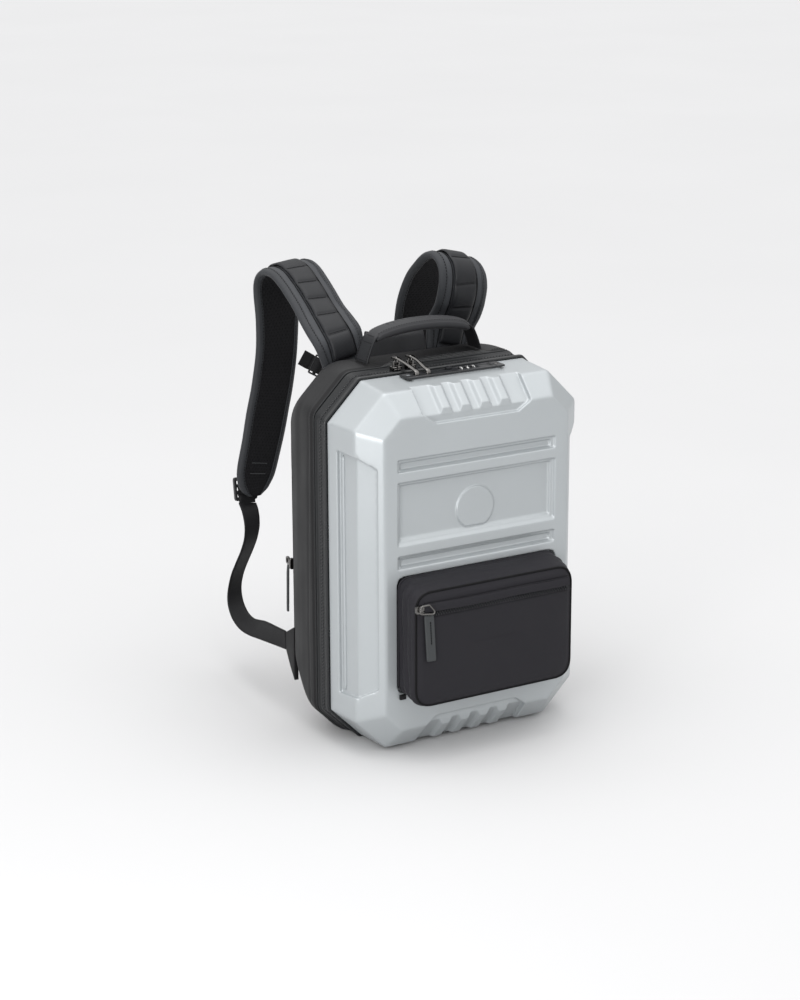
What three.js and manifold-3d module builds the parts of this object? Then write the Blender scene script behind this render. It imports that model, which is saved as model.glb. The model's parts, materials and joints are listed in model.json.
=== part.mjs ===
// Hard shell backpack: a moulded front shell zipped to a soft rear body, with a
// top lock, a carry handle, two padded shoulder straps and a front pocket.
// Units are millimetres, +Z is up, the shell's front faces -Y and +X is right.
// Everything is drawn with the shell's rim in the plane Y = 0 and the shell's
// lowest edge just over Z = 0, and the finished group is then moved so that the
// middle of the bounding box's bottom face is the origin.
import * as THREE from "three";
import { mergeVertices } from "three/addons/utils/BufferGeometryUtils.js";
import Module from "manifold-3d";

const wasm = await Module();
wasm.setup();

// ---------------------------------------------------------------- dimensions
const GAP = 0.3; // clearance between touching pieces

// Moulded shell: three eight-sided sections from the rim to the front face.
// y, half width, lowest z, highest z, top corner cut, bottom corner cut
const SHELL_WALL = 3;
const SHELL = [
  { y: 0, hw: 155, zb: 1.0, zt: 434.9, ct: 44.1, cb: 40.9 },
  { y: -54.2, hw: 151.2, zb: 2.1, zt: 430.4, ct: 39.5, cb: 39.8 },
  { y: -78.5, hw: 124.5, zb: 30.0, zt: 404.6, ct: 21.8, cb: 22.8 },
];
const FRONT_Y = -78.5;
const DETAIL_HW = 108.4; // half width of the grooves and panels in the front
const TRENCH_DEPTH = 5.5;
const RECESS_DEPTH = 5;
const RIB_PITCH = 26.5;
const RIB_BASE = 17.5;
const RIB_CREST = 10;
const RIB_HEIGHT = 4.8;
const DISC_R = 26.3;
const DISC_Z = 285;

// Lock let into the shell's top face
const LOCK_X0 = -63.5, LOCK_X1 = 69.5, LOCK_Y0 = -28.2, LOCK_Y1 = -7.0;
const LOCK_TOP = 437.0;
const LOCK_PLATE_T = 2.0;
const LOCK_DEPTH = 15;
const DIAL_R = 5.2, DIAL_W = 4.4, DIAL_PITCH = 8.4, DIAL_X = 22.0;
const DIAL_Y = -17.6, DIAL_DROP = 3.4;
const PULLER_SLOT_X = [-45.5, -30.0];

// Soft rear body
const BODY_WALL = 2.5;
const GASKET_Y = [GAP, 5.6];
const ZIP_Y = [5.9, 29.7];
const BODY = [
  // y, half width, lowest z, highest z, top cut, bottom cut, corner radius
  { y: 30.0, hw: 155.4, zb: -1.2, zt: 438.0, ct: 44, cb: 34, r: 16 },
  { y: 42.0, hw: 156.4, zb: -2.2, zt: 440.0, ct: 44, cb: 34, r: 24 },
  { y: 58.0, hw: 156.8, zb: -2.2, zt: 440.6, ct: 44, cb: 40, r: 32 },
  { y: 75.0, hw: 156.4, zb: -2.2, zt: 440.0, ct: 46, cb: 58, r: 40 },
  { y: 89.5, hw: 153.4, zb: -2.2, zt: 437.0, ct: 50, cb: 80, r: 46 },
  { y: 97.5, hw: 147.0, zb: 4.0, zt: 431.0, ct: 50, cb: 93, r: 46 },
  { y: 101.0, hw: 137.0, zb: 16.0, zt: 421.0, ct: 50, cb: 93, r: 44 },
];
const BACK_Y = 101.0;
const PAD_Y = 109.3; // rear face of the padded back panel

// Handle
const GRIP_Y = 53, GRIP_Z = 479.0;
const TAB_W = 28, TAB_T = 2.4;

// Shoulder straps: o is the outer edge, i the inner edge of each station
const STRAP_T = 9.5;
const STRAP_LEFT = [
  { o: [-97, 106.6, 410], i: [-42, 106.6, 411] },
  { o: [-99, 106.6, 424], i: [-43, 106.7, 431] },
  { o: [-104, 106.8, 439], i: [-45, 107.8, 452] },
  { o: [-109, 110.5, 453], i: [-46, 114, 468.5] },
  { o: [-112, 126, 469], i: [-46, 132, 479] },
  { o: [-112, 148, 486], i: [-46, 154, 489] },
  { o: [-112, 170, 500.5], i: [-46, 173, 502] },
  { o: [-112, 192, 513], i: [-46, 192, 514.5] },
  { o: [-112, 213, 521], i: [-46, 211, 525] },
  { o: [-112, 233, 521.5], i: [-46, 230, 529] },
  { o: [-112, 247, 516], i: [-46, 247, 525.5] },
  { o: [-112, 256, 504.5], i: [-46, 259, 515] },
  { o: [-111, 258.5, 487], i: [-46, 265.5, 496] },
  { o: [-110, 256, 458], i: [-46, 268.5, 456] },
  { o: [-111, 255.5, 420], i: [-50, 267, 410] },
  { o: [-116, 259, 377], i: [-56, 268, 366] },
  { o: [-123, 261.5, 340], i: [-63, 267.5, 337] },
  { o: [-129, 263, 305], i: [-71, 267, 305] },
  { o: [-135, 266.5, 272], i: [-80, 269.5, 266] },
  { o: [-134.5, 268.5, 255], i: [-86, 270, 249] },
  { o: [-128.5, 270, 241.5], i: [-93, 270.5, 237] },
  { o: [-118.5, 271, 232], i: [-102.5, 271, 230.5] },
];
const STRAP_RIGHT = [
  { o: [97, 106.6, 410], i: [42, 106.6, 411] },
  { o: [99, 106.6, 424], i: [43, 106.8, 431] },
  { o: [105, 106.6, 438.5], i: [45, 107.4, 453] },
  { o: [110, 103.5, 453], i: [47, 105.5, 473] },
  { o: [112, 95.5, 468], i: [48, 97, 485] },
  { o: [112, 87.5, 484], i: [48, 88.5, 499] },
  { o: [112, 82.2, 502], i: [48, 83.5, 517] },
  { o: [112, 84.5, 517.5], i: [48, 84.5, 533.5] },
  { o: [112, 93.5, 529], i: [48, 92.5, 544.5] },
  { o: [112, 106.5, 533.5], i: [48, 105.5, 548.5] },
  { o: [111.5, 121, 529.5], i: [48, 120.5, 545.5] },
  { o: [111, 138, 518], i: [48, 138, 534] },
  { o: [110, 160, 499], i: [48, 160, 514] },
  { o: [110, 180, 470], i: [48, 179, 483] },
  { o: [112, 193, 436], i: [50, 192, 445] },
  { o: [115, 201, 400], i: [54, 201, 405] },
  { o: [120, 207.5, 360], i: [60, 208, 362] },
  { o: [127, 214, 318], i: [68, 215, 318] },
  { o: [133, 222, 278], i: [77, 224, 274] },
  { o: [132.5, 226, 261], i: [83, 227, 256] },
  { o: [126.5, 228.5, 247.5], i: [90.5, 229, 243.5] },
  { o: [116, 230, 238], i: [100.5, 230, 236.5] },
];
const BAND_HW = 13; // half width of the webbing sewn down each strap
const BAND_T = 1.8;

// Lower webbing, from the strap's adjuster to the body's rear bottom corner.
// p is the middle of the tape and s the direction of its width.
const WEB_W = 24, WEB_T = 1.8;
const WEB_LEFT = [
  { p: [-119, 274.5, 221], s: [1, 0.1, 0.0] },
  { p: [-121, 263, 213], s: [1, 0.1, 0.0] },
  { p: [-122.5, 256, 198], s: [1, 0.2, 0.0] },
  { p: [-124, 257, 181], s: [1, 0.3, 0.0] },
  { p: [-125, 266, 163], s: [1, 0.35, 0.0] },
  { p: [-126.5, 278, 144], s: [1, 0.35, 0.0] },
  { p: [-129, 288, 124], s: [1, 0.35, 0.0] },
  { p: [-132, 290, 105], s: [1, 0.35, 0.05] },
  { p: [-135.5, 281, 89], s: [1, 0.3, 0.1] },
  { p: [-139, 262, 78.5], s: [1, 0.25, 0.2] },
  { p: [-142.5, 237, 75.5], s: [0.9, 0.2, 0.4] },
  { p: [-146, 210, 79], s: [0.7, 0.1, 0.7] },
  { p: [-149, 182, 84.5], s: [0.45, 0, 0.9] },
  { p: [-151.2, 150, 89], s: [0.2, 0, 1] },
  { p: [-151.8, 114.4, 92.5], s: [0, 0, 1] },
];
const WEB_RIGHT = [
  { p: [117, 232.5, 227], s: [1, -0.1, 0.0] },
  { p: [119, 221, 219], s: [1, -0.1, 0.0] },
  { p: [120.5, 214, 204], s: [1, -0.2, 0.0] },
  { p: [122, 214.5, 186], s: [1, -0.3, 0.0] },
  { p: [124, 222, 167], s: [1, -0.35, 0.0] },
  { p: [126.5, 233, 148], s: [1, -0.35, 0.0] },
  { p: [129, 243, 128], s: [1, -0.35, 0.0] },
  { p: [132, 246, 109], s: [1, -0.35, 0.05] },
  { p: [135.5, 239, 93], s: [1, -0.3, 0.1] },
  { p: [139, 224, 82.5], s: [1, -0.25, 0.2] },
  { p: [142.5, 205, 79.5], s: [0.9, -0.2, 0.4] },
  { p: [146, 185, 82], s: [0.7, -0.1, 0.7] },
  { p: [149, 166, 86], s: [0.45, 0, 0.9] },
  { p: [151.2, 142, 89.5], s: [0.2, 0, 1] },
  { p: [151.8, 114.4, 92.5], s: [0, 0, 1] },
];

// Chest strap: webbing from one strap's inner edge to the other's, with a
// ladder slider and a side-release buckle on it. p is its middle line.
const CHEST_W = 20, CHEST_T = 1.6;
const CHEST_A = [
  { p: [-43.6, 264.5, 402.5], s: [0.5, 0, 0.87] },
  { p: [-39, 262.5, 399.5], s: [0.5, 0, 0.87] },
  { p: [-33.5, 260.2, 395.8], s: [0.5, 0, 0.87] },
];
const CHEST_B = [
  { p: [-17.2, 253.2, 386.2], s: [0.45, 0, 0.9] },
  { p: [-10, 249.5, 382.8], s: [0.35, 0, 0.95] },
  { p: [-2.6, 245.4, 380.2], s: [0.25, 0, 1] },
];
const CHEST_C = [
  { p: [29.6, 224.0, 381.4], s: [-0.3, 0, 1] },
  { p: [38, 216.5, 386.0], s: [-0.4, 0, 0.95] },
  { p: [46.2, 208.6, 392.6], s: [-0.45, 0, 0.9] },
];

// Front pocket: y, left and right edge, bottom, top, corner radius
const POCKET_WALL = 2;
const POCKET = [
  { y: -72.4, x: 107.6, zb: 78.0, zt: 216.6, r: 14 },
  { y: -80.0, x: 108.2, zb: 77.2, zt: 217.4, r: 16 },
  { y: -95.0, x: 109.4, zb: 73.0, zt: 215.4, r: 20 },
  { y: -109.0, x: 109.6, zb: 69.6, zt: 211.4, r: 22 },
  { y: -115.0, x: 106.6, zb: 71.4, zt: 208.6, r: 22 },
  { y: -118.2, x: 100.0, zb: 77.4, zt: 202.6, r: 22 },
];

// ------------------------------------------------------------------- helpers
const vec = (p) => new THREE.Vector3(p[0], p[1], p[2]);

function toSolid(geometry) {
  const bare = new THREE.BufferGeometry();
  const source = geometry.index ? geometry.toNonIndexed() : geometry;
  bare.setAttribute("position", source.getAttribute("position").clone());
  const merged = mergeVertices(bare, 1e-4);
  const tris = new Uint32Array(merged.index.array);
  const points = new Float32Array(merged.attributes.position.array);
  const make = () =>
    new wasm.Manifold(
      new wasm.Mesh({ numProp: 3, vertProperties: points, triVerts: tris }),
    );
  let solid = make();
  if (solid.volume() < 0) {
    for (let i = 0; i < tris.length; i += 3)
      [tris[i + 1], tris[i + 2]] = [tris[i + 2], tris[i + 1]];
    solid = make();
  }
  return solid;
}

function toGeometry(solid) {
  const mesh = solid.getMesh();
  const n = mesh.numProp;
  const count = mesh.vertProperties.length / n;
  const points = new Float32Array(count * 3);
  for (let i = 0; i < count; i++)
    for (let k = 0; k < 3; k++) points[i * 3 + k] = mesh.vertProperties[i * n + k];
  const g = new THREE.BufferGeometry();
  g.setAttribute("position", new THREE.BufferAttribute(points, 3));
  g.setIndex(Array.from(mesh.triVerts));
  return g;
}

// A closed skin through rings of equal point counts, with both ends capped by
// a fan about the ring's middle.
function loft(rings) {
  const n = rings[0].length;
  const points = [];
  const tris = [];
  rings.forEach((ring) => ring.forEach((p) => points.push(p[0], p[1], p[2])));
  for (let r = 0; r + 1 < rings.length; r++)
    for (let k = 0; k < n; k++) {
      const a = r * n + k, b = r * n + ((k + 1) % n);
      tris.push(a, b, b + n, a, b + n, a + n);
    }
  [0, rings.length - 1].forEach((r) => {
    const mid = [0, 0, 0];
    rings[r].forEach((p) => p.forEach((v, i) => (mid[i] += v / n)));
    const m = points.length / 3;
    points.push(...mid);
    for (let k = 0; k < n; k++) {
      const a = r * n + k, b = r * n + ((k + 1) % n);
      if (r === 0) tris.push(m, b, a);
      else tris.push(m, a, b);
    }
  });
  const g = new THREE.BufferGeometry();
  g.setAttribute(
    "position",
    new THREE.BufferAttribute(new Float32Array(points), 3),
  );
  g.setIndex(tris);
  return toSolid(g);
}

// Round each corner of a closed outline of [u, v] points.
function rounded(outline, radius, steps) {
  const out = [];
  const n = outline.length;
  for (let k = 0; k < n; k++) {
    const p = outline[k];
    const a = outline[(k + n - 1) % n], b = outline[(k + 1) % n];
    const la = Math.hypot(a[0] - p[0], a[1] - p[1]);
    const lb = Math.hypot(b[0] - p[0], b[1] - p[1]);
    const ua = [(a[0] - p[0]) / la, (a[1] - p[1]) / la];
    const ub = [(b[0] - p[0]) / lb, (b[1] - p[1]) / lb];
    const turn = Math.PI - Math.acos(ua[0] * ub[0] + ua[1] * ub[1]);
    const t = Math.min(radius * Math.tan(turn / 2), 0.46 * la, 0.46 * lb);
    for (let j = 0; j <= steps; j++) {
      const s = j / steps;
      const w0 = (1 - s) * (1 - s), w1 = 2 * s * (1 - s), w2 = s * s;
      out.push([
        w0 * (p[0] + ua[0] * t) + w1 * p[0] + w2 * (p[0] + ub[0] * t),
        w0 * (p[1] + ua[1] * t) + w1 * p[1] + w2 * (p[1] + ub[1] * t),
      ]);
    }
  }
  return out;
}

const corners = (s, cut = 0) => {
  const hw = s.hw - cut, zt = s.zt - cut, zb = s.zb + cut;
  const ct = s.ct - 0.586 * cut, cb = s.cb - 0.586 * cut;
  return [
    [hw, zb + cb], [hw, zt - ct], [hw - ct, zt], [-hw + ct, zt],
    [-hw, zt - ct], [-hw, zb + cb], [-hw + cb, zb], [hw - cb, zb],
  ];
};
const lay = (outline, y) => outline.map(([u, v]) => [u, y, v]);

// A slab of a flat outline in X and Z between two depths in Y.
const slabY = (outline, y0, y1) => loft([lay(outline, y0), lay(outline, y1)]);
// A slab of a flat outline in Y and Z between two places in X.
const slabX = (outline, x0, x1) =>
  loft([x0, x1].map((x) => outline.map(([y, z]) => [x, y, z])));
// A slab of a flat outline in X and Y between two heights in Z.
const slabZ = (outline, z0, z1) =>
  loft([z0, z1].map((z) => outline.map(([x, y]) => [x, y, z])));
const rect = (a0, a1, b0, b1) => [[a0, b0], [a1, b0], [a1, b1], [a0, b1]];
const block = (x0, x1, y0, y1, z0, z1) => slabY(rect(x0, x1, z0, z1), y0, y1);
const taper = (o0, y0, o1, y1) => loft([lay(o0, y0), lay(o1, y1)]);

function cylinderX(x0, x1, y, z, r, sides) {
  const ring = [];
  for (let k = 0; k < sides; k++) {
    const a = (2 * Math.PI * k) / sides;
    ring.push([y + r * Math.cos(a), z + r * Math.sin(a)]);
  }
  return slabX(ring, x0, x1);
}

// A tape or bar along stations { p, s, w, t }: p its middle, s the direction
// of its width, w the half width and t the half thickness.
function tape(stations, section) {
  const mids = stations.map((q) => vec(q.p));
  const n = mids.length;
  return loft(
    stations.map((q, k) => {
      const ahead = mids[Math.min(k + 1, n - 1)].clone()
        .sub(mids[Math.max(k - 1, 0)]).normalize();
      const side = vec(q.s).normalize();
      side.sub(ahead.clone().multiplyScalar(side.dot(ahead))).normalize();
      const up = new THREE.Vector3().crossVectors(side, ahead).normalize();
      return section(q).map(([u, v]) =>
        mids[k].clone().addScaledVector(side, u).addScaledVector(up, v).toArray(),
      );
    }),
  );
}
const flat = (q) => rect(-q.w, q.w, -q.t, q.t);
const pad = (q) => [
  [-q.w, -q.t * 0.3], [-q.w + 4, -q.t * 0.8], [-q.w * 0.5, -q.t], [q.w * 0.5, -q.t],
  [q.w - 4, -q.t * 0.8], [q.w, -q.t * 0.3], [q.w, q.t * 0.3], [q.w - 4, q.t * 0.8],
  [q.w * 0.5, q.t], [-q.w * 0.5, q.t], [-q.w + 4, q.t * 0.8], [-q.w, q.t * 0.3],
];
// Stations in between the given ones, on a smooth curve.
function smooth(stations, steps) {
  const keys = Object.keys(stations[0]);
  const at = (k) => stations[Math.max(0, Math.min(stations.length - 1, k))];
  const mix = (a, b, c, d, t) =>
    0.5 * (2 * b + (c - a) * t + (2 * a - 5 * b + 4 * c - d) * t * t +
      (3 * b - a - 3 * c + d) * t * t * t);
  const out = [];
  for (let k = 0; k + 1 < stations.length; k++)
    for (let j = 0; j < steps; j++) {
      const q = {};
      keys.forEach((key) => {
        const v = [at(k - 1), at(k), at(k + 1), at(k + 2)].map((s) => s[key]);
        q[key] = Array.isArray(v[0])
          ? v[0].map((_, i) => mix(v[0][i], v[1][i], v[2][i], v[3][i], j / steps))
          : mix(...v, j / steps);
      });
      out.push(q);
    }
  out.push({ ...stations[stations.length - 1] });
  return out;
}

// ------------------------------------------------------------------ assembly
const bag = new THREE.Group();
const FINISH = {
  shell: { color: 0xb4b9bb, roughness: 0.38, metalness: 0.1 },
  gasket: { color: 0x1c1f22, roughness: 0.35, metalness: 0 },
  zip: { color: 0x24282c, roughness: 0.6, metalness: 0 },
  body: { color: 0x38383a, roughness: 0.8, metalness: 0 },
  webbing: { color: 0x1b1b1d, roughness: 0.85, metalness: 0 },
  strap: { color: 0x4a4d52, roughness: 0.85, metalness: 0 },
  mesh: { color: 0x141416, roughness: 0.95, metalness: 0 },
  pocket: { color: 0x2e2d32, roughness: 0.85, metalness: 0 },
  plastic: { color: 0x1a1b1d, roughness: 0.45, metalness: 0 },
  metal: { color: 0x3b3a3c, roughness: 0.2, metalness: 1 },
  tab: { color: 0x4a5052, roughness: 0.7, metalness: 0 },
};
function add(name, solid, finish) {
  const mesh = new THREE.Mesh(
    toGeometry(solid),
    new THREE.MeshStandardMaterial(FINISH[finish]),
  );
  mesh.name = name;
  bag.add(mesh);
  return mesh;
}

// --- front shell: a facetted dish, cut by a lock window, two ribbed trenches,
// two side recesses, two grooves, a recessed panel with a disc, and a bed for
// the pocket.
const outer = loft(SHELL.map((s) => lay(corners(s), s.y)));
const hollow = loft([
  lay(corners(SHELL[0], SHELL_WALL), SHELL[0].y + 2),
  lay(corners(SHELL[1], SHELL_WALL), SHELL[1].y + 1.2),
  lay(corners(SHELL[2], SHELL_WALL * 0.45), SHELL[2].y + SHELL_WALL),
]);

// Depth outline (Y, Z) of what stays below a trench: the bevel and the front
// face, both moved in by the trench's depth.
function below(depth, top) {
  const a = SHELL[1], b = SHELL[2];
  const z1 = top ? a.zt : a.zb, z2 = top ? b.zt : b.zb;
  const dy = b.y - a.y, dz = z2 - z1, len = Math.hypot(dy, dz);
  const ny = (top ? dz : -dz) / len, nz = (top ? -dy : dy) / len; // outward
  const at = (y) => z1 - nz * depth + ((y - (a.y - ny * depth)) * dz) / dy;
  const knee = FRONT_Y + depth;
  const far = top ? 500 : -60, near = 220;
  const yFar = a.y - ny * depth + ((far - (z1 - nz * depth)) * dy) / dz;
  return [[yFar, far], [knee, at(knee)], [knee, near], [60, near], [60, far]];
}
const trenchTop = (grow) => [
  [-55.5 - grow * 0.4, 393.5 - grow], [55.5 + grow * 0.4, 393.5 - grow],
  [73 + grow, 404 - grow * 0.5], [73.8 + grow, 445], [-73.8 - grow, 445],
  [-73 - grow, 404 - grow * 0.5],
];
const trenchBottom = (grow) => [
  [-54.5 - grow * 0.4, 40 + grow], [-69.5 - grow, 29.5 + grow * 0.5],
  [-72 - grow, -8], [72 + grow, -8], [69.5 + grow, 29.5 + grow * 0.5],
  [54.5 + grow * 0.4, 40 + grow],
];
const trench = (outline, depth, top) =>
  slabY(outline, -110, -20).subtract(slabX(below(depth, top), -120, 120));

// The side recess wraps the side face and its bevel.
const recessSide = (grow) => [
  [-19 + grow, 69 - grow], [-54.5, 72 - grow], [-71.8 - grow, 84 - grow],
  [-71.8 - grow, 348 + grow], [-54.5, 361 + grow], [-19 + grow, 362 + grow],
];
const shrunk = (depth) =>
  loft(SHELL.map((s, k) => lay(
    corners({ ...s, hw: s.hw - depth * [1, 1, 0.62][k] }),
    s.y + (k === 0 ? 4 : k === 1 ? depth * 0.45 : 0),
  )));
const recess = (grow, depth) =>
  slabX(recessSide(grow), -175, 175)
    .subtract(block(-118, 118, -100, 20, -20, 480))
    .subtract(shrunk(depth));

// Two-step cuts in the front face. grow widens and deepens them for the
// matching relief on the inside of the wall.
function frontCut(zb, zt, depth, slope, grow) {
  const y0 = FRONT_Y - 1, mid = FRONT_Y + depth / 2 + grow;
  const a = rect(-DETAIL_HW - grow, DETAIL_HW + grow, zb - grow, zt + grow);
  const b = rect(-DETAIL_HW + 2.6 - grow, DETAIL_HW - 2.6 + grow,
    zb + slope * 0.5 - grow, zt - 2 + grow);
  const c = rect(-DETAIL_HW + 4.4 - grow, DETAIL_HW - 4.4 + grow,
    zb + slope * 0.55 - grow, zt - 4.4 + grow);
  const d = rect(-DETAIL_HW + 7.2 - grow, DETAIL_HW - 7.2 + grow,
    zb + slope - grow, zt - 5.6 + grow);
  return taper(a, y0, b, mid).add(taper(c, mid - 1, d, FRONT_Y + depth + grow));
}
const fronts = (grow) =>
  frontCut(341.5, 357.6, 7, 3.2, grow)
    .add(frontCut(227.0, 243.4, 7, 3.2, grow))
    .add(frontCut(253.7, 330.9, 8, 9.2, grow));
const bedOutline = (grow) =>
  rounded(rect(-109 - grow, 109 + grow, 76.3 - grow, 218.4 + grow), 9, 2);
const bed = (grow) =>
  slabY(bedOutline(grow), FRONT_Y - 1, FRONT_Y + 6.5 + grow);

// Ribs stand on each trench's floor, in the bevel's own directions.
function rib(x, top) {
  const a = SHELL[1], b = SHELL[2];
  const z1 = top ? a.zt : a.zb, z2 = top ? b.zt : b.zb;
  const dy = b.y - a.y, dz = z2 - z1, len = Math.hypot(dy, dz);
  const down = [0, dy / len, dz / len];
  const out = [0, (top ? dz : -dz) / len, (top ? -dy : dy) / len];
  const foot = len - 1.0, crest = len - 7.0;
  const point = (u, along, height) => [
    x + u,
    a.y + down[1] * along + out[1] * height,
    z1 + down[2] * along + out[2] * height,
  ];
  const frame = (hwid, end, h) => [
    point(-hwid, -26, h), point(hwid, -26, h), point(hwid, end, h), point(-hwid, end, h),
  ];
  return loft([
    frame(RIB_BASE / 2, foot, -TRENCH_DEPTH - 1),
    frame(RIB_BASE / 2, foot, -TRENCH_DEPTH),
    frame(RIB_CREST / 2, crest, -TRENCH_DEPTH + RIB_HEIGHT),
  ]);
}

let skin = outer
  .subtract(trench(trenchTop(0), TRENCH_DEPTH, true))
  .subtract(trench(trenchBottom(0), TRENCH_DEPTH, false))
  .subtract(recess(0, RECESS_DEPTH))
  .subtract(fronts(0))
  .subtract(bed(0));
for (const top of [true, false])
  for (const k of [-1.5, -0.5, 0.5, 1.5])
    skin = skin.add(rib(k * RIB_PITCH, top).intersect(outer));
// Disc on the panel's floor, with a flat at the bottom and a ring around it.
const discOutline = (r) => {
  const out = [];
  const cut = -Math.acos(0.8 * DISC_R / r);
  const a0 = -Math.PI / 2 + -cut, a1 = 1.5 * Math.PI + cut;
  for (let k = 0; k <= 30; k++) {
    const a = a0 + ((a1 - a0) * k) / 30;
    out.push([r * Math.cos(a), DISC_Z + r * Math.sin(a)]);
  }
  return out;
};
const panelFloor = FRONT_Y + 8;
skin = skin.add(taper(discOutline(DISC_R), panelFloor + 1,
  discOutline(DISC_R - 1.2), panelFloor - 2.6));

let core = hollow
  .subtract(trench(trenchTop(SHELL_WALL), TRENCH_DEPTH + SHELL_WALL, true))
  .subtract(trench(trenchBottom(SHELL_WALL), TRENCH_DEPTH + SHELL_WALL, false))
  .subtract(recess(SHELL_WALL, RECESS_DEPTH + SHELL_WALL))
  .subtract(fronts(SHELL_WALL))
  .subtract(bed(SHELL_WALL));
const lockBody = (grow) =>
  block(LOCK_X0 + 10 - grow, LOCK_X1 - 10 + grow, LOCK_Y0 + 2.4 - grow,
    LOCK_Y1 - 2.4 + grow, LOCK_TOP - LOCK_DEPTH - grow, LOCK_TOP + 8);
// The plate lies on a flat seat cut level into the sloping top face.
const seat = block(LOCK_X0 - GAP, LOCK_X1 + GAP, LOCK_Y0 - GAP, LOCK_Y1 + GAP,
  LOCK_TOP - LOCK_PLATE_T - GAP, LOCK_TOP + 20);
const shellSolid = skin.subtract(core).subtract(seat)
  .add(block(LOCK_X0 - 3, LOCK_X1 + 3, LOCK_Y0 - 3, LOCK_Y1 + 3,
    LOCK_TOP - 7.4, LOCK_TOP - LOCK_PLATE_T - GAP).intersect(outer))
  .subtract(lockBody(GAP));
add("front_shell", shellSolid, "shell");

// --- lock: plate with its housing, dials, release button and a plain dot
const dialX = [-1, 0, 1].map((k) => DIAL_X + k * DIAL_PITCH);
const dialZ = LOCK_TOP - DIAL_DROP;
const plateOutline = rounded(rect(LOCK_X0, LOCK_X1, LOCK_Y0, LOCK_Y1), 2.5, 2);
let lock = slabZ(plateOutline, LOCK_TOP - LOCK_PLATE_T, LOCK_TOP).add(
  block(LOCK_X0 + 10, LOCK_X1 - 10, LOCK_Y0 + 2.4, LOCK_Y1 - 2.4,
    LOCK_TOP - LOCK_DEPTH, LOCK_TOP - LOCK_PLATE_T / 2),
);
dialX.forEach((x) => {
  const half = DIAL_W / 2 + GAP;
  lock = lock
    .subtract(cylinderX(x - half, x + half, DIAL_Y, dialZ, DIAL_R + 0.6, 24))
    .subtract(block(x - half, x + half, DIAL_Y - 4.6, DIAL_Y + 4.6, dialZ, LOCK_TOP + 2));
});
PULLER_SLOT_X.forEach((x) => {
  lock = lock.subtract(block(x - 3.2, x + 3.2, -22.5, -12.5, LOCK_TOP - 7, LOCK_TOP + 2));
});
const SLIDE_Y = -12.4;
lock = lock
  .subtract(block(-14.5, 5.0, SLIDE_Y - 1.9, SLIDE_Y + 1.9, LOCK_TOP - 4, LOCK_TOP + 2))
  .subtract(block(40.5, 55.5, -23.5, -11.5, LOCK_TOP - 0.6, LOCK_TOP + 2))
  .subtract(block(57.2, 57.9, LOCK_Y0 - 1, LOCK_Y1 + 1, LOCK_TOP - 0.5, LOCK_TOP + 2));
add("lock_plate", lock, "plastic");
dialX.forEach((x, k) =>
  add(`lock_dial_${k + 1}`, cylinderX(x - DIAL_W / 2, x + DIAL_W / 2, DIAL_Y, dialZ,
    DIAL_R, 20), "plastic"),
);
const knob = [[-3.4, -2.6], [3.4, -2.6], [3.4, 1.4], [0, 4.0], [-3.4, 1.4]]
  .map(([u, v]) => [u, v + SLIDE_Y - 0.2]);
add("lock_button",
  slabZ(knob, LOCK_TOP + GAP, LOCK_TOP + 2.8)
    .add(block(-3.0, 3.0, SLIDE_Y - 1.55, SLIDE_Y + 1.55, LOCK_TOP - 3.4, LOCK_TOP + 1)),
  "plastic");
const dot = [];
for (let k = 0; k < 16; k++)
  dot.push([-57.2 + 2.4 * Math.cos((k * Math.PI) / 8), -17.6 + 2.4 * Math.sin((k * Math.PI) / 8)]);
add("lock_dot", slabZ(dot, LOCK_TOP + GAP, LOCK_TOP + 0.9), "tab");

// --- rim gasket and zip band: hoops behind the rim
const hoop = (a, b, wall, steps) => {
  const ringAt = (s, cut, y) => lay(rounded(corners(s, cut), s.r, steps), y);
  return loft([ringAt(a, 0, a.y), ringAt(b, 0, b.y)]).subtract(
    loft([ringAt(a, wall, a.y - 1), ringAt(b, wall, b.y + 1)]));
};
const rim = { hw: 155, zb: 0.2, zt: 434.9, ct: 44.1, cb: 40.9 };
const lip = { hw: 158.4, zb: -2.2, zt: 438.2, ct: 46, cb: 42.8 };
add("rim_gasket",
  loft([
    lay(rounded(corners(lip, 1.4), 5, 2), GASKET_Y[0]),
    lay(rounded(corners(lip), 6, 2), 1.6),
    lay(rounded(corners(lip), 7, 2), 4.4),
    lay(rounded(corners(lip, 1.2), 8, 2), GASKET_Y[1]),
  ]).subtract(loft([
    lay(rounded(corners(rim, 4.5), 5, 2), -1),
    lay(rounded(corners(rim, 4.5), 5, 2), 8),
  ])), "gasket");
const band = [
  { y: ZIP_Y[0], hw: 154.6, zb: 0.6, zt: 435.0, ct: 44, cb: 39, r: 8 },
  { y: ZIP_Y[1], hw: 155.0, zb: -1.0, zt: 437.4, ct: 44, cb: 34.4, r: 14 },
];
add("zip_band", hoop(band[0], band[1], BODY_WALL, 2), "zip");

// --- soft body: an open tub with a rounded back
const ring = (s, cut, y) => lay(rounded(corners(s, cut), Math.max(4, s.r - cut), 3), y);
const tub = loft(BODY.map((s) => ring(s, 0, s.y)));
const inside = loft(BODY.map((s, k) =>
  ring(s, BODY_WALL * (k > 3 ? 1.15 : 1), k === 0 ? s.y - 1 : s.y - BODY_WALL * Math.min(1, k / 5))));
const bodySolid = tub.subtract(inside);
add("soft_body", bodySolid, "body");

// --- padded back panel
const padRing = (hw, zb, zt, r, y) => lay(rounded(rect(-hw, hw, zb, zt), r, 3), y);
add("back_panel",
  loft([
    padRing(116, 84, 402, 30, BACK_Y + GAP),
    padRing(118, 82, 404, 32, BACK_Y + 5),
    padRing(114, 86, 400, 30, PAD_Y - 1.5),
    padRing(108, 92, 394, 28, PAD_Y),
  ]).subtract(slabY(rounded(rect(-14, 14, 60, 430), 6, 2), PAD_Y - 5, PAD_Y + 2)),
  "mesh");

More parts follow.
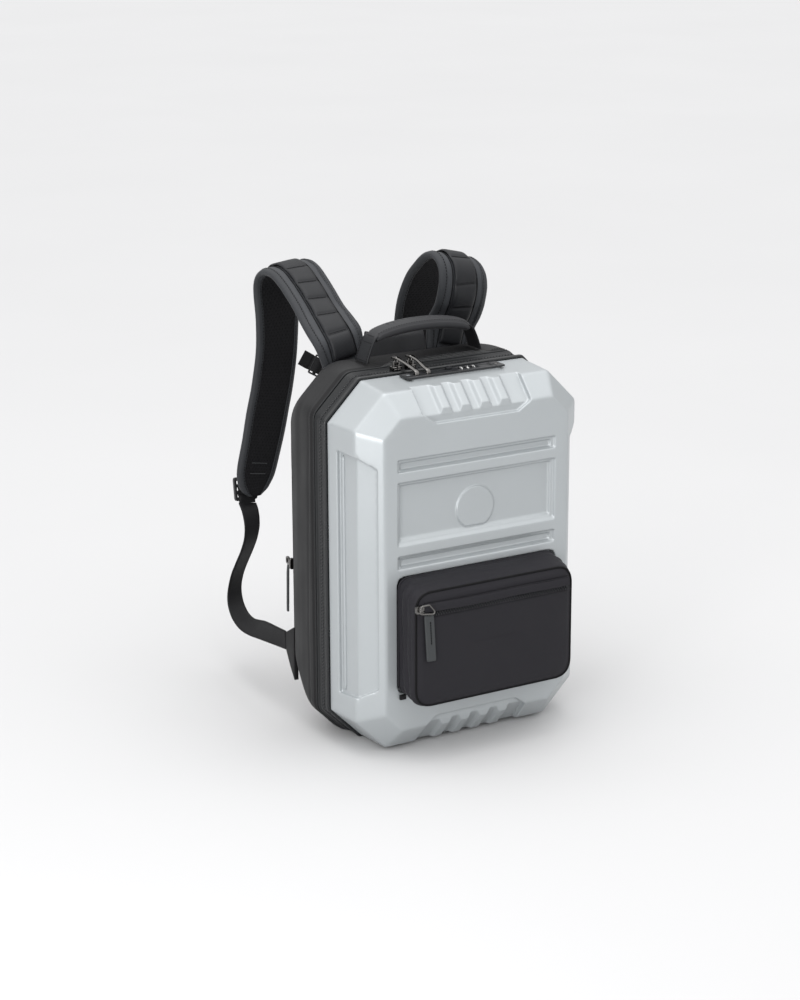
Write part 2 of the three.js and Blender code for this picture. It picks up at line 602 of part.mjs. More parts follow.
// --- carry handle
const topAt = (y) => {
  const k = BODY.findIndex((s) => s.y > y);
  const a = BODY[k - 1], b = BODY[k];
  return a.zt + ((b.zt - a.zt) * (y - a.y)) / (b.y - a.y);
};
const gripPath = [
  // x, drop below the middle, half width, half thickness
  [-64, 10.5, 12.6, 4.8], [-56, 6.4, 13.6, 6.6], [-40, 2.9, 14, 7.2],
  [-20, 0.6, 14, 7.2], [0, 0, 14, 7.2], [20, 0.6, 14, 7.2],
  [40, 2.9, 14, 7.2], [56, 6.4, 13.6, 6.6], [64, 10.5, 12.6, 4.8],
].map(([x, drop, w, t]) => ({ p: [x, GRIP_Y, GRIP_Z - drop], w, t, s: [0, 1, 0] }));
const oval = (q) => {
  const out = [];
  for (let k = 0; k < 14; k++) {
    const a = (2 * Math.PI * k) / 14;
    out.push([q.w * Math.cos(a), q.t * Math.sin(a)]);
  }
  return out;
};
add("handle_grip", tape(gripPath, oval), "body");
for (const [name, side] of [["handle_tab_left", -1], ["handle_tab_right", 1]]) {
  const base = topAt(GRIP_Y) + GAP;
  add(name,
    tape([
      [77.8, 0.9], [75.8, 9.0], [72.4, 18.0], [68.2, 26.6],
    ].map(([x, h]) => ({
      p: [side * x, GRIP_Y, base + h], s: [0, 1, 0], w: TAB_W / 2, t: TAB_T / 2,
    })), flat), "webbing");
}

// --- shoulder straps with the webbing sewn along them
const fromEdges = (q, w, t) => {
  const o = vec(q.o), i = vec(q.i);
  const side = i.clone().sub(o);
  return {
    p: o.clone().add(i).multiplyScalar(0.5).toArray(),
    s: side.clone().normalize().toArray(),
    w: w === null ? side.length() / 2 : w,
    t,
  };
};
for (const [name, rows, flip] of [
  ["left", STRAP_LEFT, 1],
  ["right", STRAP_RIGHT, -1],
]) {
  const line = smooth(rows, 2);
  add(`shoulder_strap_${name}`, tape(line.map((q) => fromEdges(q, null, STRAP_T / 2)), pad), "strap");
  // The webbing lies on the strap's outer face, from near the yoke to near
  // the strap's lower end.
  const mids = line.map((q) => fromEdges(q, BAND_HW, BAND_T / 2));
  const lifted = mids.map((q, k) => {
    const a = vec(mids[Math.min(k + 1, mids.length - 1)].p);
    const b = vec(mids[Math.max(k - 1, 0)].p);
    const ahead = a.sub(b).normalize();
    const side = vec(q.s);
    side.sub(ahead.clone().multiplyScalar(side.dot(ahead))).normalize();
    const up = new THREE.Vector3().crossVectors(side, ahead).multiplyScalar(flip);
    return { ...q, p: vec(q.p).addScaledVector(up, STRAP_T / 2 + GAP + BAND_T / 2 + 0.25).toArray() };
  }).slice(name === "left" ? 5 : 9, line.length - 5);
  const clear = tape(line.map((q) => fromEdges(q, null, STRAP_T / 2 + GAP)), pad);
  add(`strap_webbing_${name}`, tape(lifted, flat).subtract(clear), "webbing");
}
// Fabric yoke that joins the two straps behind the handle: it lies on the
// body's back below and stands free of it at the top.
add("strap_yoke",
  loft([-41.2, -30, -12, 12, 30, 41.2].map((x, k) => {
    const top = [464.5, 461.5, 457.5, 456.0, 456.0, 457.0][k];
    return rounded([
      [101.6, 407.5], [107.2, 407.5], [108.2, 428], [113.6, top - 9], [112.0, top],
      [107.2, top - 2.5], [102.6, 428],
    ], 3, 1).map(([y, z]) => [x, y, z]);
  })), "body");

// --- chest strap with its slider and buckle
const webbed = (rows, w, t = WEB_T) => rows.map((q) => ({ ...q, w: w / 2, t: t / 2 }));
add("chest_webbing_left", tape(webbed(CHEST_A, CHEST_W, CHEST_T), flat), "webbing");
add("chest_webbing_middle", tape(webbed(CHEST_B, CHEST_W, CHEST_T), flat), "webbing");
add("chest_webbing_right", tape(webbed(CHEST_C, CHEST_W, CHEST_T), flat), "webbing");
// A flat frame in the plane of the webbing: along its run and across it.
const along = (a, b) => vec(b).sub(vec(a)).normalize();
function place(solid, p, run, width) {
  const x = run.clone().normalize();
  const z = width.clone().sub(x.clone().multiplyScalar(width.dot(x))).normalize();
  const y = new THREE.Vector3().crossVectors(z, x);
  const m = [x, y, z, vec(p)].flatMap((v) => [v.x, v.y, v.z]);
  return solid.transform([m[0], m[1], m[2], 0, m[3], m[4], m[5], 0, m[6], m[7], m[8], 0, m[9], m[10], m[11], 1]);
}
const slider = () => {
  let f = slabY(rounded(rect(-7.6, 7.6, -13, 13), 2, 2), -2.0, 2.0);
  for (const x of [-3.9, 3.9])
    f = f.subtract(slabY(rect(x - 1.9, x + 1.9, -10.8, 10.8), -5, 5));
  return f;
};
add("chest_slider",
  place(slider(), [-25.4, 256.9, 390.6], along(CHEST_A[2].p, CHEST_B[0].p), vec([0.5, 0, 0.87])),
  "plastic");
const clasp = () =>
  loft([
    [-15.6, 11.0, 2.2], [-13.5, 12.4, 3.0], [-2, 12.8, 3.6], [2, 12.8, 3.6], [13.5, 12.4, 3.0], [15.6, 11.0, 2.2],
  ].map(([x, h, t]) => rounded(rect(-t, t, -h, h), 1.6, 1).map(([y, z]) => [x, y, z])))
    .subtract(block(-4.6, 4.6, -1.2, 1.2, 9.6, 16))
    .subtract(block(-4.6, 4.6, -1.2, 1.2, -16, -9.6));
add("chest_buckle",
  place(clasp(), [13.6, 235.0, 379.2], along(CHEST_B[2].p, CHEST_C[0].p), vec([0, 0, 1])),
  "plastic");

// --- strap adjusters, lower webbing and the tabs that hold it to the body
for (const [name, side, rows, ax, ay, az] of [
  ["left", -1, WEB_LEFT, -118, 282.0, 238.6],
  ["right", 1, WEB_RIGHT, 116, 240.8, 244.8],
]) {
  let frame = slabY(rounded(rect(-15, 15, -15, 15), 3, 2), -2.4, 2.4);
  for (const z of [-8.4, 0, 8.4])
    frame = frame.subtract(slabY(rect(-11.6, 11.6, z - 2.2, z + 2.2), -5, 5));
  add(`strap_adjuster_${name}`, frame.rotate([-10, 0, side * 6]).translate([ax, ay, az]), "plastic");
  add(`lower_webbing_${name}`,
    tape(webbed(smooth(rows, 2), WEB_W), flat), "webbing");
  // A sewn wedge of body fabric between the webbing and the rear corner.
  add(`anchor_tab_${name}`,
    loft([
      // y, inner and outer x, lowest and highest z
      [112.6, 150.4, 153.2, 81, 104], [102, 149.8, 153.8, 64, 110], [87, 150, 156, 50, 118],
    ].map(([y, x0, x1, z0, z1]) =>
      [[x0, z0], [x1, z0], [x1, z1], [x0, z1]].map(([x, z]) => [side * x, y, z]),
    )).subtract(loft(BODY.map((q) => ring(q, -GAP - 0.2, q.y + GAP + 0.2)))), "body");
}

// --- main zip: two sliders on the band's top and their pullers, held in the
// lock's slots
[-52.5, -33.5].forEach((x, k) => {
  const z = 437.4;
  add(`main_zip_slider_${k + 1}`,
    slabZ(rounded(rect(x - 7, x + 7, 13.2, 22.8), 3, 2), z, z + 3.6)
      .add(block(x - 4.6, x + 4.6, 16.6, 19.4, z + 3, z + 8.4))
      .subtract(block(x - 2.2, x + 2.2, 16, 20, z + 4, z + 6.6)),
    "metal");
  const tip = PULLER_SLOT_X[k];
  add(`main_zip_puller_${k + 1}`,
    tape([
      { p: [x + 0.6, 24.4, z + 12.4], w: 3.0, t: 1.1 },
      { p: [x + 1.2, 19.0, z + 13.0], w: 3.2, t: 1.2 },
      { p: [x + 2.6, 8.0, z + 10.6], w: 3.0, t: 1.2 },
      { p: [tip - 0.8, -8.0, z + 5.6], w: 2.8, t: 1.2 },
      { p: [tip, -16.8, z + 2.6], w: 2.6, t: 1.2 },
      { p: [tip, -18.6, z - 2.4], w: 2.4, t: 1.2 },
    ].map((q) => ({ ...q, s: [1, 0, 0] })), flat)
      .add(block(x - 1.4, x + 1.4, 17.4, 18.6, z + 9.0, z + 13.0)),
    "metal");
});

// --- front pocket: a soft box open towards the shell
const pocketRing = (s, cut, y) =>
  lay(rounded(rect(-s.x + cut, s.x - cut, s.zb + cut, s.zt - cut), Math.max(5, s.r - cut), 3), y);
add("front_pocket",
  loft(POCKET.map((s) => pocketRing(s, 0, s.y))).subtract(
    loft(POCKET.map((s, k) =>
      pocketRing(s, POCKET_WALL, k === 0 ? s.y + 1 : s.y + POCKET_WALL * Math.min(1, k / 4))))),
  "pocket");
add("pocket_slider",
  slabY(rounded(rect(-110, -99, 187.0, 196.0), 2.5, 2), -121.6, -118.6)
    .add(block(-107, -102, -124.2, -121, 190.0, 193.4)),
  "metal");
add("pocket_puller",
  slabY(rounded([[-108, 187.5], [-88.5, 184.4], [-86.5, 188.5], [-95, 198.5], [-106, 198]], 3, 2), -126.2, -124.6)
    .subtract(slabY([[-105, 190.5], [-91, 188.2], [-96.5, 195.6], [-104, 195.2]], -128, -123)),
  "metal");
add("pocket_pull_tab",
  loft([-123.8, -121.4].map((y) =>
    lay(rounded([[-96.2, 128.2], [-84.2, 127.6], [-87.4, 183.0], [-99.8, 184.6]], 2, 2), y))),
  "tab");
add("pocket_corner_tab",
  block(-107.4, -99.6, -82.4, -79.0, 70.2, 76.0), "webbing");

// --- rear compartment's zip slider and its cord pull, on the left edge
add("side_zip_slider",
  slabY(rounded(rect(-153.2, -146.8, 187, 201), 2.5, 2), 98.4, 101.6)
    .add(block(-151.6, -148.4, 101.2, 105.4, 190, 198))
    .subtract(block(-153, -147, 102.4, 104.0, 191.6, 196.4)),
  "metal");
add("side_zip_puller",
  tape([
    { p: [-150.0, 109.0, 190.0], w: 2.6, t: 1.2 },
    { p: [-150.4, 109.6, 180.0], w: 3.4, t: 1.4 },
    { p: [-150.6, 110.0, 160.0], w: 3.2, t: 1.4 },
    { p: [-150.6, 110.8, 131.0], w: 2.8, t: 1.4 },
  ].map((q) => ({ ...q, s: [0.4, 1, 0] })), flat),
  "plastic");
add("side_zip_ring",
  slabX(rounded(rect(106.0, 113.4, 191.2, 200.6), 3, 2), -151.0, -149.0)
    .subtract(slabX(rounded(rect(107.8, 111.6, 193.0, 198.8), 2, 2), -155, -145)),
  "metal");

// --- move the origin to the middle of the bounding box's bottom face
const whole = new THREE.Group();
whole.add(bag);
bag.updateMatrixWorld(true);
const box = new THREE.Box3().setFromObject(bag);
bag.position.set(
  -(box.min.x + box.max.x) / 2,
  -(box.min.y + box.max.y) / 2,
  -box.min.z,
);

export default whole;
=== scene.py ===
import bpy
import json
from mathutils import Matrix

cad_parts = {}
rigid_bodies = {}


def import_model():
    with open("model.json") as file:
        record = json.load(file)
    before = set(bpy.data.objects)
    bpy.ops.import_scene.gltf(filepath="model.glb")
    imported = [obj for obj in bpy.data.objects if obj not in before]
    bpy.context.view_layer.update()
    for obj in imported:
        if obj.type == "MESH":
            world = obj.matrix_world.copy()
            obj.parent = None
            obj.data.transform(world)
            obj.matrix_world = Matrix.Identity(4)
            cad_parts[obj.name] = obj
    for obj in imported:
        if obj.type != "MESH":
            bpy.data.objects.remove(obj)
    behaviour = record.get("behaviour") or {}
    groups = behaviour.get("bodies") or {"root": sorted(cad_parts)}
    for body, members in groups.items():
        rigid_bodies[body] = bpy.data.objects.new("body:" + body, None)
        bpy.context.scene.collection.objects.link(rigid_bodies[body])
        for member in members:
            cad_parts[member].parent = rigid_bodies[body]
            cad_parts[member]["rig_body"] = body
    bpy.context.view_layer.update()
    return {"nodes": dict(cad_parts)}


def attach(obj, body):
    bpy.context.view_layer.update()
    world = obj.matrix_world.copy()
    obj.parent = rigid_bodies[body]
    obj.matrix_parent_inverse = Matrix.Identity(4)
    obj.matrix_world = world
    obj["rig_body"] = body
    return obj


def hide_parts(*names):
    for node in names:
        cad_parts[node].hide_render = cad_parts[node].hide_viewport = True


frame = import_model()

import json
import math
import bpy
import bmesh
import numpy as np
from mathutils import Vector, Matrix
from mathutils.bvhtree import BVHTree
from mathutils.kdtree import KDTree

OFF = np.array([0.0, -84.51, 2.2])  # from the drawing frame (mm) to the part's frame
scene = bpy.context.scene
NODES = frame["nodes"]


def to_m(points):
    return (np.asarray(points, float).reshape(-1, 3) + OFF) * 0.001


# ------------------------------------------------------------------ materials
def principled(name, base, rough, metallic=0.0, spec=0.5, sheen=0.0, coat=0.0):
    m = bpy.data.materials.new(name)
    m.use_nodes = True
    b = m.node_tree.nodes["Principled BSDF"]
    b.inputs["Base Color"].default_value = (*base, 1)
    b.inputs["Roughness"].default_value = rough
    b.inputs["Metallic"].default_value = metallic
    b.inputs["Specular IOR Level"].default_value = spec
    if sheen:
        b.inputs["Sheen Weight"].default_value = sheen
        b.inputs["Sheen Roughness"].default_value = 0.4
    if coat:
        b.inputs["Coat Weight"].default_value = coat
        b.inputs["Coat Roughness"].default_value = 0.15
    return m, m.node_tree.nodes, m.node_tree.links, b


def mathn(nodes, links, op, a, b=None, c=None):
    n = nodes.new("ShaderNodeMath")
    n.operation = op
    for k, v in enumerate((a, b, c)):
        if v is None:
            continue
        if isinstance(v, (int, float)):
            n.inputs[k].default_value = v
        else:
            links.new(v, n.inputs[k])
    return n.outputs[0]


def noise(nodes, links, vec, scale, detail=3.0, rough=0.55):
    n = nodes.new("ShaderNodeTexNoise")
    n.inputs["Scale"].default_value = scale
    n.inputs["Detail"].default_value = detail
    n.inputs["Roughness"].default_value = rough
    links.new(vec, n.inputs["Vector"])
    return n.outputs["Fac"]


def ramp(nodes, links, fac, stops):
    n = nodes.new("ShaderNodeValToRGB")
    el = n.color_ramp.elements
    el[0].position, el[0].color = stops[0][0], (*stops[0][1], 1)
    el[1].position, el[1].color = stops[-1][0], (*stops[-1][1], 1)
    for pos, col in stops[1:-1]:
        e = el.new(pos)
        e.color = (*col, 1)
    links.new(fac, n.inputs["Fac"])
    return n.outputs["Color"]


def bump(nodes, links, b, height, strength, dist):
    n = nodes.new("ShaderNodeBump")
    n.inputs["Strength"].default_value = strength
    n.inputs["Distance"].default_value = dist
    links.new(height, n.inputs["Height"])
    links.new(n.outputs["Normal"], b.inputs["Normal"])


def tint(base, k):
    return tuple(min(1.0, c * k) for c in base)


def coords(nodes, kind):
    return nodes.new("ShaderNodeTexCoord").outputs[kind]


def plastic(name, base, rough, grain=2600, grain_bump=0.12, metallic=0.0, spec=0.5, var=0.06, coat=0.0):
    m, n, l, b = principled(name, base, rough, metallic, spec, coat=coat)
    obj = coords(n, "Object")
    big = noise(n, l, obj, 9.0, 4)
    fine = noise(n, l, obj, grain, 2)
    l.new(ramp(n, l, big, [(0.3, tint(base, 1 - var)), (0.7, tint(base, 1 + var))]), b.inputs["Base Color"])
    smear = noise(n, l, obj, 60.0, 5)
    l.new(mathn(n, l, "MULTIPLY_ADD", smear, 0.14, rough - 0.07), b.inputs["Roughness"])
    bump(n, l, b, fine, grain_bump, 0.0002)
    return m


def woven(name, base, rough, pitch_u, pitch_v, depth=0.35, kind="plain", coord="UV", var=0.12, sheen=0.3, spec=0.35):
    """Woven cloth: crossing threads of the given pitch in metres, drawn from the piece's own UVs, which are in metres."""
    m, n, l, b = principled(name, base, rough, spec=spec, sheen=sheen)
    src = coords(n, coord)
    sep = n.new("ShaderNodeSeparateXYZ")
    l.new(src, sep.inputs[0])
    u, v = (sep.outputs[0], sep.outputs[1]) if coord == "UV" else (sep.outputs[0], sep.outputs[2])
    ku, kv = 2 * math.pi / pitch_u, 2 * math.pi / pitch_v
    su = mathn(n, l, "SINE", mathn(n, l, "MULTIPLY", u, ku))
    sv = mathn(n, l, "SINE", mathn(n, l, "MULTIPLY", v, kv))
    if kind == "plain":
        h = mathn(n, l, "MULTIPLY", su, sv)
    elif kind == "twill":
        d = mathn(n, l, "ADD", mathn(n, l, "MULTIPLY", u, ku), mathn(n, l, "MULTIPLY", v, kv))
        h = mathn(n, l, "SINE", d)
    elif kind == "rib":
        h = mathn(n, l, "ADD", mathn(n, l, "MULTIPLY", mathn(n, l, "ABSOLUTE", su), 0.8), mathn(n, l, "MULTIPLY", mathn(n, l, "MULTIPLY", su, sv), 0.5))
    else:  # open net of holes set in staggered rows
        d1 = mathn(n, l, "SINE", mathn(n, l, "ADD", mathn(n, l, "MULTIPLY", u, ku), mathn(n, l, "MULTIPLY", v, kv)))
        d2 = mathn(n, l, "SINE", mathn(n, l, "SUBTRACT", mathn(n, l, "MULTIPLY", u, ku), mathn(n, l, "MULTIPLY", v, kv)))
        h = mathn(n, l, "MULTIPLY", mathn(n, l, "MAXIMUM", mathn(n, l, "MINIMUM", d1, d2), -0.35), -1.0)
    h01 = mathn(n, l, "MULTIPLY_ADD", h, 0.5, 0.5)
    big = noise(n, l, coords(n, "Object"), 26.0, 4)
    fibre = noise(n, l, coords(n, "Object"), 1800.0, 2)
    low = 0.08 if kind == "net" else 0.78
    k = 0.9 if kind == "net" else 0.6
    shade = mathn(n, l, "ADD", mathn(n, l, "MULTIPLY", h01, k), mathn(n, l, "ADD", mathn(n, l, "MULTIPLY", big, 0.24), mathn(n, l, "MULTIPLY", fibre, 0.10)))
    l.new(ramp(n, l, shade, [(0.2, tint(base, low)), (0.55, base), (0.9, tint(base, 1 + var * 2))]), b.inputs["Base Color"])
    l.new(mathn(n, l, "MULTIPLY_ADD", big, 0.2, rough - 0.1), b.inputs["Roughness"])
    total = mathn(n, l, "ADD", h01, mathn(n, l, "MULTIPLY", fibre, 0.3))
    bump(n, l, b, total, depth, 0.0006 if kind == "net" else 0.00025)
    return m


GREY = (0.385, 0.409, 0.42)
M = {}
M["shell"] = plastic("shell_plastic", GREY, 0.34, grain=3400, grain_bump=0.05, metallic=0.3, var=0.025)
M["lock"] = plastic("lock_plastic", (0.016, 0.017, 0.019), 0.3, grain=3000, grain_bump=0.08)
M["dial"] = plastic("dial_plastic", (0.012, 0.012, 0.013), 0.35)
M["digit"] = plastic("digit_paint", (0.8, 0.8, 0.78), 0.5, grain=4000, grain_bump=0.05, var=0.05)
M["dot"] = plastic("dot_plastic", (0.17, 0.18, 0.19), 0.35)
M["gasket"] = plastic("rubber_seal", (0.006, 0.007, 0.008), 0.26, grain=1800, grain_bump=0.06, coat=0.1)
M["zip_tape"] = woven("zip_tape_weave", (0.007, 0.008, 0.009), 0.45, 0.0011, 0.0022, 0.3, "twill", sheen=0.0, spec=0.35)
M["coil"] = plastic("zip_coil_nylon", (0.012, 0.013, 0.015), 0.35)
M["body"] = woven("body_cloth", (0.0125, 0.0125, 0.0132), 0.62, 0.0009, 0.0009, 0.2, "plain", sheen=0.0, spec=0.18)
M["panel"] = woven("panel_cloth", (0.0158, 0.0160, 0.0168), 0.5, 0.0014, 0.0014, 0.14, "twill", sheen=0.0, spec=0.25)
M["mesh"] = woven("spacer_mesh", (0.0085, 0.0085, 0.0095), 0.7, 0.0048, 0.0078, 0.9, "net", sheen=0.0, spec=0.14)
M["backmesh"] = woven("spacer_mesh_back", (0.0085, 0.0085, 0.0095), 0.7, 0.0048, 0.0078, 0.9, "net", coord="Object", sheen=0.0, spec=0.14)
M["handle"] = woven("handle_cloth", (0.027, 0.0275, 0.030), 0.55, 0.0012, 0.0012, 0.25, "plain", sheen=0.04, spec=0.3)
M["web"] = woven("webbing_weave", (0.007, 0.007, 0.0078), 0.6, 0.0024, 0.0016, 0.6, "rib", sheen=0.02, spec=0.2)
M["webg"] = woven("webbing_weave_grey", (0.0135, 0.0142, 0.0162), 0.45, 0.0026, 0.0018, 0.4, "twill", sheen=0.0, spec=0.26)
M["strap"] = woven("strap_cloth", (0.036, 0.0385, 0.043), 0.55, 0.0010, 0.0010, 0.25, "plain", sheen=0.05, spec=0.3)
M["bind"] = woven("binding_tape", (0.028, 0.030, 0.0335), 0.55, 0.0016, 0.0022, 0.45, "twill", sheen=0.04, spec=0.28)
M["thread"] = plastic("sewing_thread", (0.003, 0.003, 0.0035), 0.6, grain=5000, grain_bump=0.3, spec=0.15)
M["threadg"] = plastic("sewing_thread_grey", (0.035, 0.037, 0.04), 0.6, grain=5000, grain_bump=0.3)
M["buckle"] = plastic("buckle_plastic", (0.011, 0.011, 0.012), 0.38, grain=2200, grain_bump=0.15)
M["metal"] = plastic("gunmetal", (0.15, 0.145, 0.14), 0.14, grain=900, grain_bump=0.03, metallic=1.0, var=0.12)
M["pocket"] = woven("pocket_cloth", (0.0145, 0.0138, 0.0172), 0.62, 0.0009, 0.0016, 0.4, "plain", sheen=0.03, spec=0.2)
M["pull"] = plastic("pull_rubber", (0.028, 0.0312, 0.033), 0.55, grain=1500, grain_bump=0.25)


# --------------------------------------------------------------- mesh helpers
def finish_piece(ob, mat, body="root", replaces=(), extra=()):
    ob.data.materials.clear()
    ob.data.materials.append(M[mat])
    for e in extra:
        ob.data.materials.append(M[e])
    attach(ob, body)
    if replaces:
        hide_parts(*replaces)
    return ob


def make(name, pts, faces, mat, slot, body="root", replaces=(), uvs=None, smooth=True, angle=None, extra=(), index=None, metres=False):
    me = bpy.data.meshes.new(name)
    co = np.asarray(pts, float).reshape(-1, 3) if metres else to_m(pts)
    me.from_pydata(co.tolist(), [], faces)
    if uvs is not None:
        layer = me.uv_layers.new(name="UVMap")
        layer.data.foreach_set("uv", np.asarray(uvs, np.float32).reshape(-1))
    me.update()
    bm = bmesh.new()
    bm.from_mesh(me)
    bmesh.ops.recalc_face_normals(bm, faces=bm.faces)
    bm.to_mesh(me)
    bm.free()
    ob = bpy.data.objects.new(name, me)
    scene.collection.objects.link(ob)
    if smooth:
        me.polygons.foreach_set("use_smooth", np.ones(len(me.polygons), bool))
        if angle:
            me.set_sharp_from_angle(angle=math.radians(angle))
    finish_piece(ob, mat, body, replaces, extra)
    if index is not None:
        me.polygons.foreach_set("material_index", np.asarray(index, np.int32))
    return ob


def grid(rings, closed=True, wrap=False, caps=True):
    """Faces, per-corner UVs (metres) and points of a skin through rings."""
    R = np.asarray(rings, float)
    nr, n = R.shape[:2]
    m = n if closed else n - 1
    step = np.linalg.norm(np.roll(R, -1, 1) - R, axis=2)
    U = np.concatenate([np.zeros((nr, 1)), np.cumsum(step, 1)], 1)
    U = np.repeat(U.mean(0)[None], nr, 0)
    V = np.concatenate([[0], np.cumsum(np.linalg.norm(R[1:] - R[:-1], axis=2).mean(1))])
    faces, uvs = [], []
    rows = nr if wrap else nr - 1
    for r in range(rows):
        r2 = (r + 1) % nr
        v0, v1 = V[r], (V[r + 1] if r + 1 < nr else V[r] + (V[-1] - V[-2]))
        for k in range(m):
            k2 = (k + 1) % n
            faces.append((r * n + k, r * n + k2, r2 * n + k2, r2 * n + k))
            uvs += [(U[r, k], v0), (U[r, k + 1], v0), (U[r, k + 1], v1), (U[r, k], v1)]
    if caps and closed and not wrap:
        for r in (0, nr - 1):
            c = R[r].mean(0)
            idx = range(n) if r else range(n - 1, -1, -1)
            faces.append(tuple(r * n + k for k in idx))
            uvs += [(R[r, k, 0] - c[0], R[r, k, 2] - c[2]) for k in idx]
    return R.reshape(-1, 3), faces, np.array(uvs) * 0.001


def skin(name, rings, mat, slot, closed=True, wrap=False, caps=True, **kw):
    p, f, uv = grid(rings, closed, wrap, caps)
    return make(name, p, f, mat, slot, uvs=uv, **kw)


def catmull(rows, steps):
    A = np.asarray(rows, float)
    n = len(A)
    at = lambda k: A[max(0, min(n - 1, k))]
    out = []
    for k in range(n - 1):
        a, b, c, d = at(k - 1), at(k), at(k + 1), at(k + 2)
        for j in range(steps):
            t = j / steps
            out.append(0.5 * (2 * b + (c - a) * t + (2 * a - 5 * b + 4 * c - d) * t * t + (3 * b - a - 3 * c + d) * t ** 3))
    out.append(A[-1])
    return np.array(out)


def unit(v):
    v = np.asarray(v, float)
    return v / np.maximum(np.linalg.norm(v, axis=-1, keepdims=True), 1e-9)


class Ribbon:
    """A run of stations with a middle, a side and an up direction; pt(i, u, h) is a point on it."""

    def __init__(self, mid, side, hw, flip=1):
        self.mid, self.hw, self.n = np.asarray(mid, float), np.asarray(hw, float), len(mid)
        ahead = np.gradient(self.mid, axis=0)
        self.ahead = unit(ahead)
        s = np.asarray(side, float)
        s = s - self.ahead * (s * self.ahead).sum(1, keepdims=True)
        self.side = unit(s)
        self.up = unit(np.cross(self.side, self.ahead)) * flip
        self.s = np.concatenate([[0], np.cumsum(np.linalg.norm(self.mid[1:] - self.mid[:-1], axis=1))])

    def at(self, s, u=0.0, h=0.0):
        s = np.asarray(s, float)
        out = []
        for src in (self.mid, self.side, self.up):
            out.append(np.stack([np.interp(s, self.s, src[:, k]) for k in range(3)], -1))
        u, h = np.asarray(u, float)[..., None], np.asarray(h, float)[..., None]
        return out[0] + unit(out[1]) * u + unit(out[2]) * h

    def width(self, s):
        return np.interp(s, self.s, self.hw)

    def sweep(self, ss, section):
        """section(s) gives [(u, h)] around the piece at length s."""
        rings = []
        for s in ss:
            sec = np.asarray(section(s), float)
            rings.append(self.at(np.full(len(sec), s), sec[:, 0], sec[:, 1]))
        return rings


def rect_section(hw, t, r=0.35, lift=0.0, n=7):
    """A flat tape's section with rounded edges: half width hw, thickness t."""
    us = np.linspace(-hw + r, hw - r, n)
    out = [(-hw, lift), *[(u, lift + t / 2) for u in us], (hw, lift), *[(u, lift - t / 2) for u in us[::-1]]]
    return out


def stitches(name, runs, mat="thread", slot="webbing", width=0.7, length=2.3, gap=1.1, body="root", high=0.35):
    """Short raised threads along each run of points (N, 3) with its up directions."""
    pts, faces = [], []
    for path, up in runs:
        path, up = np.asarray(path, float), unit(up)
        s = np.concatenate([[0], np.cumsum(np.linalg.norm(path[1:] - path[:-1], axis=1))])
        a = 0.0
        while a + length < s[-1]:
            rows = []
            for t, k in ((0, 0.35), (0.2, 1.0), (0.8, 1.0), (1.0, 0.35)):
                q = a + t * length
                p = np.array([np.interp(q, s, path[:, i]) for i in range(3)])
                u = unit([np.interp(q, s, up[:, i]) for i in range(3)])
                rows.append((p, u, k))
            d = unit(rows[-1][0] - rows[0][0])
            base = len(pts)
            for p, u, k in rows:
                w = unit(np.cross(d, u)) * width / 2
                pts += [p - w * k - u * 0.15, p - w * 0.6 * k + u * high * k, p + w * 0.6 * k + u * high * k, p + w * k - u * 0.15]
            for r in range(3):
                for c in range(4):
                    i, j = base + r * 4 + c, base + r * 4 + (c + 1) % 4
                    faces.append((i, j, j + 4, i + 4))
            faces += [(base + 3, base + 2, base + 1, base), (base + 12, base + 13, base + 14, base + 15)]
            a += length + gap
    if pts:
        return make(name, pts, faces, mat, slot, body=body)


def tube(path, r, sides=10, up=(0, 0, 1), closed=False):
    """Rings of a round cord along a path."""
    P = np.asarray(path, float)
    if closed:
        d = np.roll(P, -1, 0) - np.roll(P, 1, 0)
    else:
        d = np.gradient(P, axis=0)
    d = unit(d)
    ref = np.broadcast_to(np.asarray(up, float), P.shape)
    a = unit(np.cross(d, ref))
    b = unit(np.cross(a, d))
    r = np.broadcast_to(np.asarray(r, float), (len(P),))
    t = np.linspace(0, 2 * math.pi, sides, endpoint=False)
    return [p + rr * (np.cos(t)[:, None] * x + np.sin(t)[:, None] * y) for p, x, y, rr in zip(P, a, b, r)]


def corners(s, cut=0.0):
    hw, zt, zb = s["hw"] - cut, s["zt"] - cut, s["zb"] + cut
    ct, cb = s["ct"] - 0.586 * cut, s["cb"] - 0.586 * cut
    return [(hw, zb + cb), (hw, zt - ct), (hw - ct, zt), (-hw + ct, zt), (-hw, zt - ct), (-hw, zb + cb), (-hw + cb, zb), (hw - cb, zb)]


def outline(pts, radius, arc=5, sides=None):
    """A closed outline with rounded corners and the same count of points on each side every time."""
    n = len(pts)
    P = np.asarray(pts, float)
    ends, out = [], []
    for k in range(n):
        p, a, b = P[k], P[(k - 1) % n], P[(k + 1) % n]
        la, lb = np.linalg.norm(a - p), np.linalg.norm(b - p)
        ua, ub = (a - p) / la, (b - p) / lb
        turn = math.pi - math.acos(max(-1, min(1, float(ua @ ub))))
        t = min(radius * math.tan(turn / 2), 0.47 * la, 0.47 * lb)
        ends.append([(1 - s) ** 2 * (p + ua * t) + 2 * s * (1 - s) * p + s * s * (p + ub * t) for s in np.linspace(0, 1, arc + 1)])
    for k in range(n):
        out += ends[k]
        m = (sides or [4] * n)[k]
        a, b = ends[k][-1], ends[(k + 1) % n][0]
        out += [a + (b - a) * j / (m + 1) for j in range(1, m + 1)]
    return np.array(out)


def ring3(o, y):
    return np.stack([o[:, 0], np.full(len(o), y), o[:, 1]], 1)


